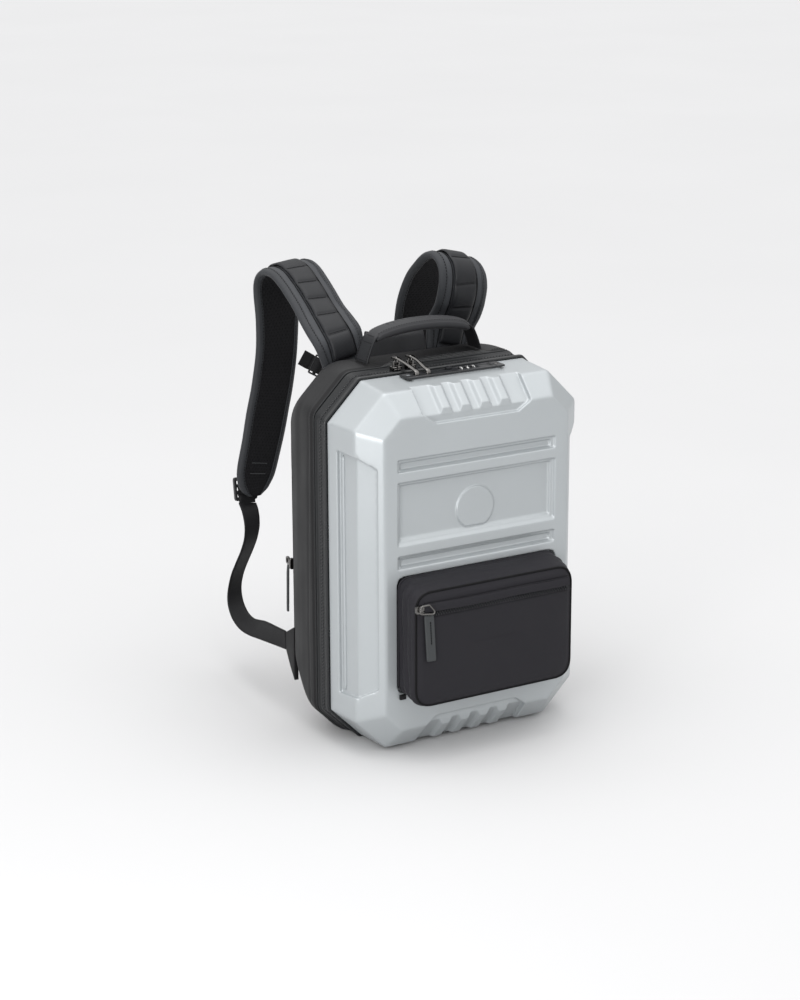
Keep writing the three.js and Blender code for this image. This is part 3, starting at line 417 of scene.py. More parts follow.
def relax(co, edges, steps, weight, lam=0.5):
    n = len(co)
    a, b = edges[:, 0], edges[:, 1]
    deg = np.maximum(np.bincount(a, minlength=n) + np.bincount(b, minlength=n), 1)[:, None]
    w = (lam * weight)[:, None]
    for _ in range(steps):
        mean = np.stack([np.bincount(a, co[b, k], n) + np.bincount(b, co[a, k], n) for k in range(3)], 1) / deg
        co = co + (mean - co) * w
    return co


def mesh_arrays(me):
    co = np.empty(len(me.vertices) * 3)
    me.vertices.foreach_get("co", co)
    ed = np.empty(len(me.edges) * 2, np.int64)
    me.edges.foreach_get("vertices", ed)
    return co.reshape(-1, 3), ed.reshape(-1, 2)


def evaluated(ob, name):
    dg = bpy.context.evaluated_depsgraph_get()
    me = bpy.data.meshes.new_from_object(ob.evaluated_get(dg))
    me.name = name
    return me


def soften(name, node, mat, width=0.4, segments=2, body="root", angle=28):
    """A carried-over hard piece: the CAD solid with its edges rounded."""
    src = NODES[node]
    ob = bpy.data.objects.new(name, src.data.copy())
    scene.collection.objects.link(ob)
    bm = bmesh.new()
    bm.from_mesh(ob.data)
    bmesh.ops.remove_doubles(bm, verts=bm.verts, dist=1e-6)
    bmesh.ops.dissolve_limit(bm, angle_limit=math.radians(2), verts=bm.verts, edges=bm.edges)
    bm.to_mesh(ob.data)
    bm.free()
    bev = ob.modifiers.new("Bevel", "BEVEL")
    bev.width, bev.segments, bev.limit_method, bev.angle_limit = width * 0.001, segments, "ANGLE", math.radians(angle)
    me = evaluated(ob, name)
    ob.modifiers.clear()
    ob.data = me
    me.polygons.foreach_set("use_smooth", np.ones(len(me.polygons), bool))
    me.set_sharp_from_angle(angle=math.radians(40))
    return finish_piece(ob, mat, body, (node,))


# ---------------------------------------------------------------------- shell
SHELL = [
    dict(y=0.0, hw=155.0, zb=1.0, zt=434.9, ct=44.1, cb=40.9),
    dict(y=-54.2, hw=151.2, zb=2.1, zt=430.4, ct=39.5, cb=39.8),
    dict(y=-78.5, hw=124.5, zb=30.0, zt=404.6, ct=21.8, cb=22.8),
]


def simple_loft(bm, rings):
    vs = [[bm.verts.new(p) for p in to_m(r)] for r in rings]
    n = len(vs[0])
    for a, b in zip(vs, vs[1:]):
        for k in range(n):
            bm.faces.new((a[k], a[(k + 1) % n], b[(k + 1) % n], b[k]))
    bm.faces.new(vs[0][::-1])
    bm.faces.new(vs[-1])


def build_shell():
    src = NODES["front_shell"]
    bm = bmesh.new()
    bm.from_mesh(src.data)
    bmesh.ops.remove_doubles(bm, verts=bm.verts, dist=1e-6)
    # close the back and the lock's window, so that only the outer skin is left
    cap = np.array(corners(SHELL[0], 0.4))
    simple_loft(bm, [ring3(cap, -4.0), ring3(cap, 0.0)])
    x0, x1, y0, y1 = -56.0, 62.0, -27.0, -8.4
    plug = [[(x0, y0, z), (x1, y0, z), (x1, y1, z), (x0, y1, z)] for z in (425.0, 434.6)]
    simple_loft(bm, plug)
    bmesh.ops.recalc_face_normals(bm, faces=bm.faces)
    # edges of the form, kept apart by how softly they are rounded
    fine, big = [], []
    corner_lines = [np.array([[x, s["y"], z] for x, z in corners(s)]) for s in SHELL]

    def on_big(p):
        y = p[1]
        for k in (0, 1):
            s, t = SHELL[k], SHELL[k + 1]
            if t["y"] - 0.2 <= y <= s["y"] + 0.2:
                f = (y - s["y"]) / (t["y"] - s["y"])
                c = corner_lines[k] * (1 - f) + corner_lines[k + 1] * f
                if np.min(np.hypot(c[:, 0] - p[0], c[:, 2] - p[2])) < 0.7:
                    return True
        for k in (1, 2):
            if abs(y - SHELL[k]["y"]) < 0.25:
                c = corner_lines[k]
                for a, b in zip(c, np.roll(c, -1, 0)):
                    ab = b - a
                    t = max(0, min(1, float((p - a) @ ab / (ab @ ab))))
                    if np.linalg.norm(a + ab * t - p) < 0.5:
                        return True
        return False

    for e in bm.edges:
        if len(e.link_faces) == 2 and e.calc_face_angle(0) > math.radians(7):
            a, b = (np.array(v.co) * 1000 - OFF for v in e.verts)
            m = max(1, int(np.linalg.norm(b - a) / 0.8))
            kind = on_big((a + b) / 2)
            for j in range(m + 1):
                (big if kind else fine).append(a + (b - a) * j / m)
    me = bpy.data.meshes.new("shell_source")
    bm.to_mesh(me)
    bm.free()
    ob = bpy.data.objects.new("front_shell_skin", me)
    scene.collection.objects.link(ob)
    mod = ob.modifiers.new("Remesh", "REMESH")
    mod.mode, mod.voxel_size = "VOXEL", 0.00125
    out = evaluated(ob, "front_shell_skin")
    ob.modifiers.clear()
    tree = BVHTree.FromPolygons([v.co[:] for v in me.vertices], [p.vertices[:] for p in me.polygons])
    # the outer island only
    bm = bmesh.new()
    bm.from_mesh(out)
    bm.verts.ensure_lookup_table()
    co, ed = mesh_arrays(out)
    label = np.arange(len(co))
    while True:
        new = label.copy()
        np.minimum.at(new, ed[:, 0], label[ed[:, 1]])
        np.minimum.at(new, ed[:, 1], label[ed[:, 0]])
        new = new[new]
        if (new == label).all():
            break
        label = new
    keep = label[np.argmin(co[:, 1])]
    rim_y = (SHELL[0]["y"] + OFF[1]) * 0.001
    drop = [v for v in bm.verts if label[v.index] != keep or v.co.y > rim_y - 0.0009]
    bmesh.ops.delete(bm, geom=drop, context="VERTS")
    bm.to_mesh(out)
    bm.free()
    co, ed = mesh_arrays(out)
    mm = co * 1000 - OFF

    def distance(points):
        kd = KDTree(len(points))
        for i, p in enumerate(points):
            kd.insert(p, i)
        kd.balance()
        return np.array([kd.find(p)[2] for p in mm])

    df, db = distance(fine), distance(big)
    step = lambda d, a, b: np.clip((d - a) / (b - a), 0, 1) ** 2 * (3 - 2 * np.clip((d - a) / (b - a), 0, 1))
    near = np.array([tree.find_nearest(p)[0][:] for p in co])
    flat_w = (step(df, 0.35, 1.3) * step(db, 3.4, 5.6))[:, None]
    first = relax(co, ed, 2, np.ones(len(co)))
    first = near * 0.55 + first * 0.45
    smooth = relax(first, ed, 15, 1 - step(db, 4.5, 7.0) * 1.0)
    big_w = ((1 - step(db, 3.2, 6.0)) * step(df, 0.6, 2.0))[:, None]
    co2 = first * (1 - flat_w) + near * flat_w
    co2 = co2 * (1 - big_w) + smooth * big_w
    co2 = relax(co2, ed, 1, np.ones(len(co)))
    edge = co[:, 1] > rim_y - 0.0026
    co2[edge] = co[edge]
    out.vertices.foreach_set("co", co2.reshape(-1))
    out.update()
    ob.data = out
    tris = sum(len(p.vertices) - 2 for p in out.polygons)
    if tris > 172000:
        dec = ob.modifiers.new("Decimate", "DECIMATE")
        dec.ratio = 165000 / tris
        out2 = evaluated(ob, "front_shell_skin")
        ob.modifiers.clear()
        ob.data = out = out2
    # turn the rim in and close the back as a dish
    bm = bmesh.new()
    bm.from_mesh(out)
    rim = [e for e in bm.edges if e.is_boundary]
    mid = Vector((0, 0, (218.0 + OFF[2]) * 0.001))
    for y, k in ((-0.2, 0.996), (-0.2, 0.981), (-6.0, 0.972), (-44.0, 0.88), (-60.0, 0.70)):
        ext = bmesh.ops.extrude_edge_only(bm, edges=rim)["geom"]
        rim = [g for g in ext if isinstance(g, bmesh.types.BMEdge)]
        prev = 1.0
        for v in {v for e in rim for v in e.verts}:
            if "base" not in bm.verts.layers.float_vector:
                pass
            v.co.y = (y + OFF[1]) * 0.001
            v.co.x *= k if y == -0.2 and k > 0.99 else 1
            v.co.z = mid.z + (v.co.z - mid.z) * (k if y == -0.2 and k > 0.99 else 1)
            if not (y == -0.2 and k > 0.99):
                f = {0.981: 0.985, 0.972: 0.99, 0.88: 0.905, 0.70: 0.80}[k]
                v.co.x *= f
                v.co.z = mid.z + (v.co.z - mid.z) * f
    bmesh.ops.holes_fill(bm, edges=rim, sides=0)
    bmesh.ops.recalc_face_normals(bm, faces=bm.faces)
    bm.to_mesh(out)
    bm.free()
    out.polygons.foreach_set("use_smooth", np.ones(len(out.polygons), bool))
    finish_piece(ob, "shell", replaces=("front_shell",))
    return ob


shell = build_shell()

for side, tag in ((-1, "left"), (1, "right")):
    zs = np.linspace(73.5, 357.5, 90)
    f = np.clip(np.minimum(zs - 73.5, 357.5 - zs) / 2.0, 0, 1)
    skin(f"recess_bead_{tag}", tube(np.stack([np.full(90, side * 148.1), np.full(90, -25.6), zs], 1), 0.5 + 1.5 * f ** 0.5, 12, up=(0, 1, 0)), "shell", "shell")


# ------------------------------------------------- gasket, zip band, soft body
SIDES = [60, 12, 44, 12, 60, 12, 44, 12]
LIP = dict(hw=158.4, zb=-2.2, zt=438.2, ct=46.0, cb=42.8)


def hoop(name, profile, base, radius, mat, slot, replaces=(), jag=None, **kw):
    """A closed section [(y, cut)] carried around the bag."""
    rings = []
    for y, cut in profile:
        rings.append(ring3(outline(corners(base, cut), max(3.0, radius - cut), 6, SIDES), y))
    return skin(name, rings, mat, slot, wrap=True, replaces=replaces, **kw)


bead = [(0.35, 6.6), (0.35, 1.9), (0.7, 0.9), (1.5, 0.15), (2.4, 0.0), (3.1, 0.35), (3.5, 0.75), (3.9, 0.4), (4.6, 0.3), (5.2, 0.7), (5.6, 1.6), (5.6, 6.6)]
hoop("seal_bead", bead, LIP, 7.5, "gasket", "gasket", ("rim_gasket",))

BAND = [dict(y=5.9, hw=154.6, zb=0.6, zt=435.0, ct=44.0, cb=39.0), dict(y=29.7, hw=155.0, zb=-1.0, zt=437.4, ct=44.0, cb=34.4)]


def band_at(y, cut):
    f = (y - 5.9) / 23.8
    s = {k: BAND[0][k] * (1 - f) + BAND[1][k] * f for k in BAND[0]}
    return outline(corners(s, cut), 8 + 8 * f, 6, SIDES)


def band_ring(y, cut):
    return ring3(band_at(y, cut), y)


prof = [(5.9, 2.6), (5.9, 0.8), (6.4, 0.3), (9.2, 0.15), (11.6, 0.0), (13.6, -0.15), (14.2, 0.1), (14.5, 0.9), (16.4, 1.0), (18.3, 0.9),
        (18.6, 0.1), (19.2, -0.15), (21.2, 0.0), (23.6, 0.1), (25.2, -0.1), (26.2, -0.7), (27.4, -0.9), (28.6, -0.5), (29.7, 0.5), (29.7, 2.6)]
skin("zip_band_tape", [band_ring(y, c) for y, c in prof], "zip_tape", "zip_tape", wrap=True, replaces=("zip_band",))


def teeth():
    pts, faces = [], []
    line = band_at(16.4, 0.2)
    d = np.linalg.norm(np.roll(line, -1, 0) - line, axis=1)
    s = np.concatenate([[0], np.cumsum(d)])
    closed = np.vstack([line, line[:1]])
    count = int(s[-1] / 2.1)
    for k in range(count):
        q = (k + 0.5) * s[-1] / count
        x, z = np.interp(q, s, closed[:, 0]), np.interp(q, s, closed[:, 1])
        x2, z2 = np.interp((q + 0.5) % s[-1], s, closed[:, 0]), np.interp((q + 0.5) % s[-1], s, closed[:, 1])
        t = unit(np.array([x2 - x, 0, z2 - z]))
        n = np.array([t[2], 0, -t[0]])
        if n @ np.array([x, 0, z - 218]) < 0:
            n = -n
        y = 15.5 if k % 2 else 17.3
        base = len(pts)
        for yy, h in ((-1.9, -0.6), (-1.5, 0.35), (1.5, 0.35), (1.9, -0.6)):
            for w in (-0.62, 0.62):
                pts.append(np.array([x, y + yy, z]) + n * h + t * w)
        f = [(0, 1, 3, 2), (2, 3, 5, 4), (4, 5, 7, 6), (6, 7, 1, 0), (0, 2, 4, 6), (1, 7, 5, 3)]
        faces += [tuple(base + i for i in q) for q in f]
    make("zip_coil", pts, faces, "coil", "zip_tape", smooth=False)


teeth()

BODY = [  # y, half width, lowest z, highest z, top cut, bottom cut, radius
    (30.0, 155.4, -1.2, 438.0, 44, 34, 16), (42.0, 156.4, -2.2, 440.0, 44, 34, 24), (58.0, 156.8, -2.2, 440.6, 44, 40, 32),
    (75.0, 156.4, -2.2, 440.0, 46, 58, 40), (89.5, 153.4, -2.2, 437.0, 50, 80, 46), (97.5, 147.0, 4.0, 431.0, 50, 93, 46), (101.0, 137.0, 16.0, 421.0, 50, 93, 44),
]
BROWS = catmull(BODY, 1)


def body_row(y):
    A = np.array(BODY, float)
    return np.array([np.interp(y, A[:, 0], A[:, k]) for k in range(7)])


def body_outline(row, cut=0.0):
    s = dict(hw=row[1], zb=row[2], zt=row[3], ct=row[4], cb=row[5])
    return outline(corners(s, cut), max(4.0, row[6] - cut), 10, [90, 12, 60, 12, 90, 12, 60, 12])


def build_body():
    rows = catmull(BODY, 9)
    rows[:, 2] = np.maximum(rows[:, 2], -2.2)
    rings = [ring3(body_outline(r), r[0]) for r in rows]
    R = np.array(rings)
    mid = np.array([0, 0, 218.0])
    nr, n = R.shape[:2]
    # outward direction in the ring's own plane
    t = np.roll(R, -1, 1) - np.roll(R, 1, 1)
    out = unit(np.stack([t[..., 2], np.zeros((nr, n)), -t[..., 0]], -1))
    flip = np.sign((out * (R - mid)).sum(2, keepdims=True))
    out *= np.where(flip == 0, 1, flip)
    X, Y, Z = R[..., 0], R[..., 1], R[..., 2]
    disp = np.zeros((nr, n))
    side = np.clip((np.abs(X) - 120) / 30, 0, 1)
    top = np.clip((Z - 428) / 8, 0, 1)
    low = np.clip((Z - 6) / 14, 0, 1)
    # long soft creases down the sides
    disp += side * low * (0.12 * np.sin(Y * 0.30 + 0.9 * np.sin(Z * 0.011)) - 0.75 * np.exp(-((Y - 44 - 2.5 * np.sin(Z * 0.012)) / 1.5) ** 2)
                    - 0.3 * np.exp(-((Y - 66 - 3 * np.sin(Z * 0.009 + 1)) / 5.0) ** 2))
    disp += side * low * 0.35 * np.sin(Z * 0.05 + Y * 0.11) * np.sin(Z * 0.021 + 1.3)
    # ridges across the top, fading out towards the tabs
    fade = top * np.clip((80 - np.abs(X)) / 16, 0, 1)
    for y0, a in ((34.5, 1.3), (39.5, 1.2), (44.0, 0.9)):
        disp += fade * a * np.exp(-((Y - y0 + 0.004 * X) / 1.25) ** 2)
    disp -= top * np.clip((X - 74) / 20, 0, 1) * 0.9
    # seams: along the rear edge, and around the corner panels
    disp -= 0.9 * np.exp(-((Y - 88.2) / 0.8) ** 2)
    panel = np.zeros((nr, n))
    for sx in (-1, 1):
        a = np.maximum(np.clip((sx * X - 82) / 1.6, 0, 1), np.clip((300 - Z) / 4, 0, 1)) * np.clip((Y - 36) / 1.2, 0, 1) * np.clip((87 - Y) / 1.2, 0, 1)
        panel = np.maximum(panel, a)
    disp += panel * 0.45
    floor = np.clip((Z + 2.2) / 2.0, 0, 1)
    disp = np.where(Z < -1.0, np.minimum(disp, 0) * floor, disp)
    disp *= np.clip((Y - 30.0) / 1.6, 0, 1) * np.clip((101.2 - Y) / 2.0, 0, 1)
    R = R + out * disp[..., None]
    # inner wall and a back face
    rear = [ring3(body_outline(BODY[-1], c), 101.0 + dy) for c, dy in ((1.2, 0.35), (3.0, 0.5), (20, 0.2), (60, 0.0), (110, 0.0))]
    inner = [ring3(body_outline(r, 2.4), r[0]) for r in rows[:1]]
    deep = [ring3(body_outline(r, 2.4 + 6 * f), r[0]) for f, r in zip((0.1, 0.4, 1.0), rows[[10, 30, 50]])]
    deep2 = [ring3(body_outline(BODY[-1], c), 97.0) for c in (14, 60, 110)]
    rings = list(reversed(rear)) + list(R[::-1]) + inner + deep + deep2
    p, f, uv = grid(rings, True, False, True)
    ob = make("soft_body_cloth", p, f, "body", "body_fabric", uvs=uv, replaces=("soft_body",), extra=("panel",))
    nfaces = len(ob.data.polygons)
    idx = np.zeros(nfaces, np.int32)
    base = len(rear)
    for i, poly in enumerate(ob.data.polygons):
        c = poly.center * 1000
        x, y, z = c[0], c[1] - OFF[1], c[2] - OFF[2]
        if (abs(x) > 83 or z < 300) and 36.6 < y < 86.4:
            idx[i] = 1
    ob.data.polygons.foreach_set("material_index", idx)
    return ob, R, out, rows


body_cloth, BODY_R, BODY_OUT, BODY_ROWS = build_body()


def welt(name, y, cut, r, mat="zip_tape", slot="zip_tape"):
    o = body_outline(body_row(y), cut)
    skin(name, tube(ring3(o, y), r, 8, up=(0, 1, 0), closed=True), mat, slot, wrap=True)


welt("body_welt_front", 31.0, 0.3, 1.25)
welt("body_welt_rear", 88.6, 0.3, 0.9, "body", "body_fabric")


def seam_run(y, lift=0.15, keep=lambda p: True):
    o = body_outline(body_row(y), -lift)
    p = ring3(o, y)
    t = np.roll(p, -1, 0) - np.roll(p, 1, 0)
    up = unit(np.stack([t[:, 2], np.zeros(len(p)), -t[:, 0]], 1))
    up *= np.sign((up * (p - np.array([0, 0, 218.0]))).sum(1, keepdims=True))
    ok = np.array([keep(q) for q in p])
    runs, start = [], None
    for i in range(len(p) + 1):
        on = i < len(p) and ok[i]
        if on and start is None:
            start = i
        if not on and start is not None:
            if i - start > 3:
                runs.append((p[start:i], up[start:i]))
            start = None
    return runs


stitches("body_stitches", seam_run(85.0, keep=lambda q: q[2] > 4 and not (q[2] > 420 and abs(q[0]) < 84)) + seam_run(38.4, keep=lambda q: q[2] > 4 and not (q[2] > 420 and abs(q[0]) < 90)), "thread", "body_fabric")

# glossy ribs that run across the top between the handle's tabs
for k, (y, z, x0, x1) in enumerate(((33.6, 438.9, -66, 92), (37.6, 439.5, -60, 88), (41.4, 440.0, -56, 78))):
    xs = np.linspace(x0, x1, 60)
    f = np.clip(np.minimum(xs - x0, x1 - xs) / 9.0, 0, 1)
    sink = -1.2 * (1 - f) - np.clip((xs - 74) / 20, 0, 1) * 0.9
    skin(f"top_rib_{k + 1}", tube(np.stack([xs, y + 0.5 * np.sin(xs * 0.03), z - 0.2 + sink], 1), 1.15, 8), "gasket", "zip_tape")

# ------------------------------------------------------------ padded back panel


def build_back():
    src = NODES["back_panel"]
    ob = bpy.data.objects.new("back_pad", src.data.copy())
    scene.collection.objects.link(ob)
    co, _ = mesh_arrays(ob.data)
    c = (co.max(0) + co.min(0)) / 2
    co = c + (co - c) * np.array([0.985, 0.86, 0.99])
    ob.data.vertices.foreach_set("co", co.reshape(-1))
    mod = ob.modifiers.new("Remesh", "REMESH")
    mod.mode, mod.voxel_size = "VOXEL", 0.0045
    me = evaluated(ob, "back_pad")
    ob.modifiers.clear()
    ob.data = me
    rest, _ = mesh_arrays(me)
    cloth = ob.modifiers.new("Cloth", "CLOTH")
    cs = cloth.settings
    cs.use_pressure, cs.uniform_pressure_force = True, 4.0
    cs.quality, cs.mass = 5, 0.3
    cs.effector_weights.gravity = 0.0
    cloth.point_cache.frame_start, cloth.point_cache.frame_end = 1, 20
    for f in range(1, 21):
        scene.frame_set(f)
    sim = evaluated(ob, "back_pad")
    ob.modifiers.clear()
    now, _ = mesh_arrays(sim)
    move = now - rest
    far = np.linalg.norm(move, axis=1, keepdims=True)
    move *= np.minimum(1, 0.004 / np.maximum(far, 1e-9))
    rest = rest + move
    bpy.data.meshes.remove(sim)
    scene.frame_set(1)
    ed = mesh_arrays(me)[1]
    rest = relax(rest, ed, 3, np.ones(len(rest)))
    lo, hi = (101.3 + OFF[1]) * 0.001, (110.6 + OFF[1]) * 0.001
    x, z = rest[:, 0] * 1000, rest[:, 2] * 1000 - OFF[2]
    y = rest[:, 1]
    rear = y > (105.0 + OFF[1]) * 0.001
    # sewn channels across the two columns, made after the simulation
    sew = np.zeros(len(rest))
    for zc in (165.0, 243.0, 321.0):
        sew = np.maximum(sew, np.exp(-((z - zc - 0.12 * np.abs(x)) / 2.6) ** 2))
    sew *= np.clip((108 - np.abs(x)) / 10, 0, 1)
    y = np.where(rear, y - sew * 0.0022, y)
    rest[:, 1] = np.clip(y, lo, hi)
    me.vertices.foreach_set("co", rest.reshape(-1))
    me.update()
    sub = ob.modifiers.new("Subdivision", "SUBSURF")
    sub.levels = sub.render_levels = 1
    me = evaluated(ob, "back_pad")
    ob.modifiers.clear()
    ob.data = me
    me.polygons.foreach_set("use_smooth", np.ones(len(me.polygons), bool))
    finish_piece(ob, "backmesh", replaces=("back_panel",))
    # bound edge around the pad
    o = outline([(117, 83), (117, 403), (-117, 403), (-117, 83)], 31, 10, [60, 44, 60, 44])
    skin("back_pad_binding", tube(ring3(o, 102.6), 1.5, 8, up=(0, 1, 0), closed=True), "bind", "spacer_mesh", wrap=True)


build_back()

# --------------------------------------------------------------- shoulder straps
STRAP_T = 9.5
STRAPS = {
    "left": ([(-97, 106.6, 410), (-99, 106.6, 424), (-104, 106.8, 439), (-109, 110.5, 453), (-112, 126, 469), (-112, 148, 486), (-112, 170, 500.5),
              (-112, 192, 513), (-112, 213, 521), (-112, 233, 521.5), (-112, 247, 516), (-112, 256, 504.5), (-111, 258.5, 487), (-110, 256, 458),
              (-111, 255.5, 420), (-116, 259, 377), (-123, 261.5, 340), (-129, 263, 305), (-135, 266.5, 272), (-134.5, 268.5, 255), (-128.5, 270, 241.5), (-118.5, 271, 232)],
             [(-42, 106.6, 411), (-43, 106.7, 431), (-45, 107.8, 452), (-46, 114, 468.5), (-46, 132, 479), (-46, 154, 489), (-46, 173, 502),
              (-46, 192, 514.5), (-46, 211, 525), (-46, 230, 529), (-46, 247, 525.5), (-46, 259, 515), (-46, 265.5, 496), (-46, 268.5, 456),
              (-50, 267, 410), (-56, 268, 366), (-63, 267.5, 337), (-71, 267, 305), (-80, 269.5, 266), (-86, 270, 249), (-93, 270.5, 237), (-102.5, 271, 230.5)], 1),
    "right": ([(97, 106.6, 410), (99, 106.6, 424), (105, 106.6, 438.5), (110, 103.5, 453), (112, 95.5, 468), (112, 87.5, 484), (112, 82.2, 502),
               (112, 84.5, 517.5), (112, 93.5, 529), (112, 106.5, 533.5), (111.5, 121, 529.5), (111, 138, 518), (110, 160, 499), (110, 180, 470),
               (112, 193, 436), (115, 201, 400), (120, 207.5, 360), (127, 214, 318), (133, 222, 278), (132.5, 226, 261), (126.5, 228.5, 247.5), (116, 230, 238)],
              [(42, 106.6, 411), (43, 106.8, 431), (45, 107.4, 453), (47, 105.5, 473), (48, 97, 485), (48, 88.5, 499), (48, 83.5, 517),
               (48, 84.5, 533.5), (48, 92.5, 544.5), (48, 105.5, 548.5), (48, 120.5, 545.5), (48, 138, 534), (48, 160, 514), (48, 179, 483),
               (50, 192, 445), (54, 201, 405), (60, 208, 362), (68, 215, 318), (77, 224, 274), (83, 227, 256), (90.5, 229, 243.5), (100.5, 230, 236.5)], -1),
}


def strap_half(u, hw, rise=1.0):
    """Half thickness of the padded strap at u across a half width hw."""
    k = np.clip(np.abs(u) / hw, 0, 1)
    return 0.5 * STRAP_T * rise * (0.34 + 0.66 * (1 - np.clip((k - 0.55) / 0.45, 0, 1) ** 2.2) ** 0.7)


def build_strap(name):
    o, i, flip = STRAPS[name]
    O, I = catmull(o, 8), catmull(i, 8)
    hw = np.linalg.norm(I - O, axis=1) / 2
    rib = Ribbon((O + I) / 2, I - O, hw, flip)
    L = rib.s[-1]
    ss = np.linspace(0, L, 230)
    nu = 25
    rings, side_of = [], []
    for s in ss:
        w = rib.width(s)
        u = np.linspace(-1, 1, nu) * (w - 0.6)
        h = strap_half(u, w)
        # quilted: the outer face is drawn down at the two seams beside the webbing
        seam = 0.7 * np.exp(-((np.abs(u) - 17.5) / 1.2) ** 2) if w > 24 else 0
        puff = 0.25 * np.sin(s * 0.16) * np.exp(-((np.abs(u) - 23) / 5.0) ** 2)
        outer = [(a, b) for a, b in zip(u, h - seam + puff)]
        inner = [(a, -b) for a, b in zip(u[::-1], h[::-1])]
        sec = np.array(outer + inner)
        rings.append(rib.at(np.full(len(sec), s), sec[:, 0], sec[:, 1]))
    p, f, uv = grid(rings)
    n = 2 * nu
    index = []
    for r in range(len(rings) - 1):
        for k in range(n):
            index.append(1 if nu - 1 <= k < n - 1 else 0)
    index += [0, 0]
    # straight UVs for the mesh face, so the net isn't stretched
    ob = make(f"strap_pad_{name}", p, f, "strap", "strap_fabric", uvs=uv, replaces=(f"shoulder_strap_{name}",), extra=("mesh",), index=index)
    # binding folded over each edge
    runs = []
    for e in (-1, 1):
        def sec(s, e=e):
            w = rib.width(s)
            reach = min(8.0, w * 0.4)
            pts = []
            for d, lift in ((reach, 0.35), (reach - 0.3, 0.75), (reach * 0.6, 0.8), (2.5, 0.8), (0.9, 0.7)):
                u = e * (w - d)
                pts.append((u, strap_half(np.array(u), w) + lift))
            pts += [(e * (w + 0.6), 1.3), (e * (w + 0.9), 0.0), (e * (w + 0.6), -1.3)]
            for d, lift in ((0.9, 0.7), (2.5, 0.8), (reach * 0.6, 0.8), (reach - 0.3, 0.75), (reach, 0.35)):
                u = e * (w - d)
                pts.append((u, -strap_half(np.array(u), w) - lift))
            for d in (reach, 4.0, 1.5):
                u = e * (w - d)
                pts.append((u, -strap_half(np.array(u), w) * 0.7))
            for d in (1.5, 4.0, reach):
                u = e * (w - d)
                pts.append((u, strap_half(np.array(u), w) * 0.7))
            return pts
        s2 = np.linspace(2, L - 0.4, 200)
        skin(f"strap_binding_{name}_{'outer' if e < 0 else 'inner'}", rib.sweep(s2, sec), "bind", "strap_fabric")
        for inside in (1, -1):
            s3 = np.linspace(4, L - 4, 260)
            w = rib.width(s3)
            u = e * (w - np.minimum(6.4, w * 0.33))
            h = inside * (strap_half(u, w) + 0.82)
            path = rib.at(s3, u, h)
            up = (rib.at(s3, u, h + inside) - path)
            runs.append((path, up))
    stitches(f"strap_stitches_{name}", runs, "thread", "strap_fabric", width=0.8, length=2.6, gap=1.2)
    # the two dark seams beside the webbing
    s4 = np.linspace(20, L - 60, 220)
    for e, tag in ((-1, "a"), (1, "b")):
        path = rib.at(s4, np.full(220, e * 17.2), strap_half(np.full(220, 17.2), rib.width(s4)) + 0.25)
        skin(f"strap_seam_{name}_{tag}", tube(path, 0.55, 6, up=(0.3, 1, 0.2)), "thread", "strap_fabric")
    # webbing sewn down in puffed loops
    a, b = (26.0, L - 78.0) if name == "left" else (26.0, L - 78.0)
    pitch = 27.0
    count = int((b - a) / pitch)
    pitch = (b - a) / count
    bw = 15.2

    def lift(s, u):
        f = ((s - a) / pitch) % 1.0
        bowl = (4 * f * (1 - f)) ** 0.5
        edge = 1 - np.clip((np.abs(u) - 11.0) / 4.2, 0, 1) ** 2 * 0.55
        return 0.3 + 3.0 * bowl * edge

    rows = []
    for s in np.linspace(a, b, count * 12 + 1):
        u = np.linspace(-bw, bw, 13)
        w = rib.width(s)
        base = strap_half(u, w)
        hi = base + lift(s, u) + 1.1
        lo = base + lift(s, u)
        sec = np.array([(x, y) for x, y in zip(u, hi)] + [(x, y) for x, y in zip(u[::-1], lo[::-1])])
        rows.append(rib.at(np.full(len(sec), s), sec[:, 0], sec[:, 1]))
    skin(f"strap_loops_{name}", rows, "webg", "webbing", replaces=(f"strap_webbing_{name}",))
    # bar tacks across the webbing
    tacks = []
    for k in range(count + 1):
        s = a + k * pitch
        for ds in (-0.8, 0.8):
            u = np.linspace(-bw + 3.0, bw - 3.0, 14)
            ssv = np.full(14, min(max(s + ds, 1), L - 1))
            h = strap_half(u, rib.width(ssv[0])) + 1.7
            path = rib.at(ssv, u, h)
            tacks.append((path, rib.at(ssv, u, h + 1) - path))
    stitches(f"strap_tacks_{name}", tacks, "thread", "webbing", width=1.1, length=1.5, gap=0.25, high=0.4)
    # two tacks on the inner face near the lower end
    low = []
    for s in (L - 30.0, L - 44.0):
        w = rib.width(s)
        u = np.linspace(-w * 0.42, w * 0.42, 14)
        h = -(strap_half(u, w) + 0.25)
        path = rib.at(np.full(14, s), u, h)
        low.append((path, rib.at(np.full(14, s), u, h - 1) - path))
    stitches(f"strap_low_tacks_{name}", low, "threadg", "strap_fabric", width=1.4, length=1.4, gap=0.2, high=0.4)
    return rib


RIBS = {k: build_strap(k) for k in ("left", "right")}


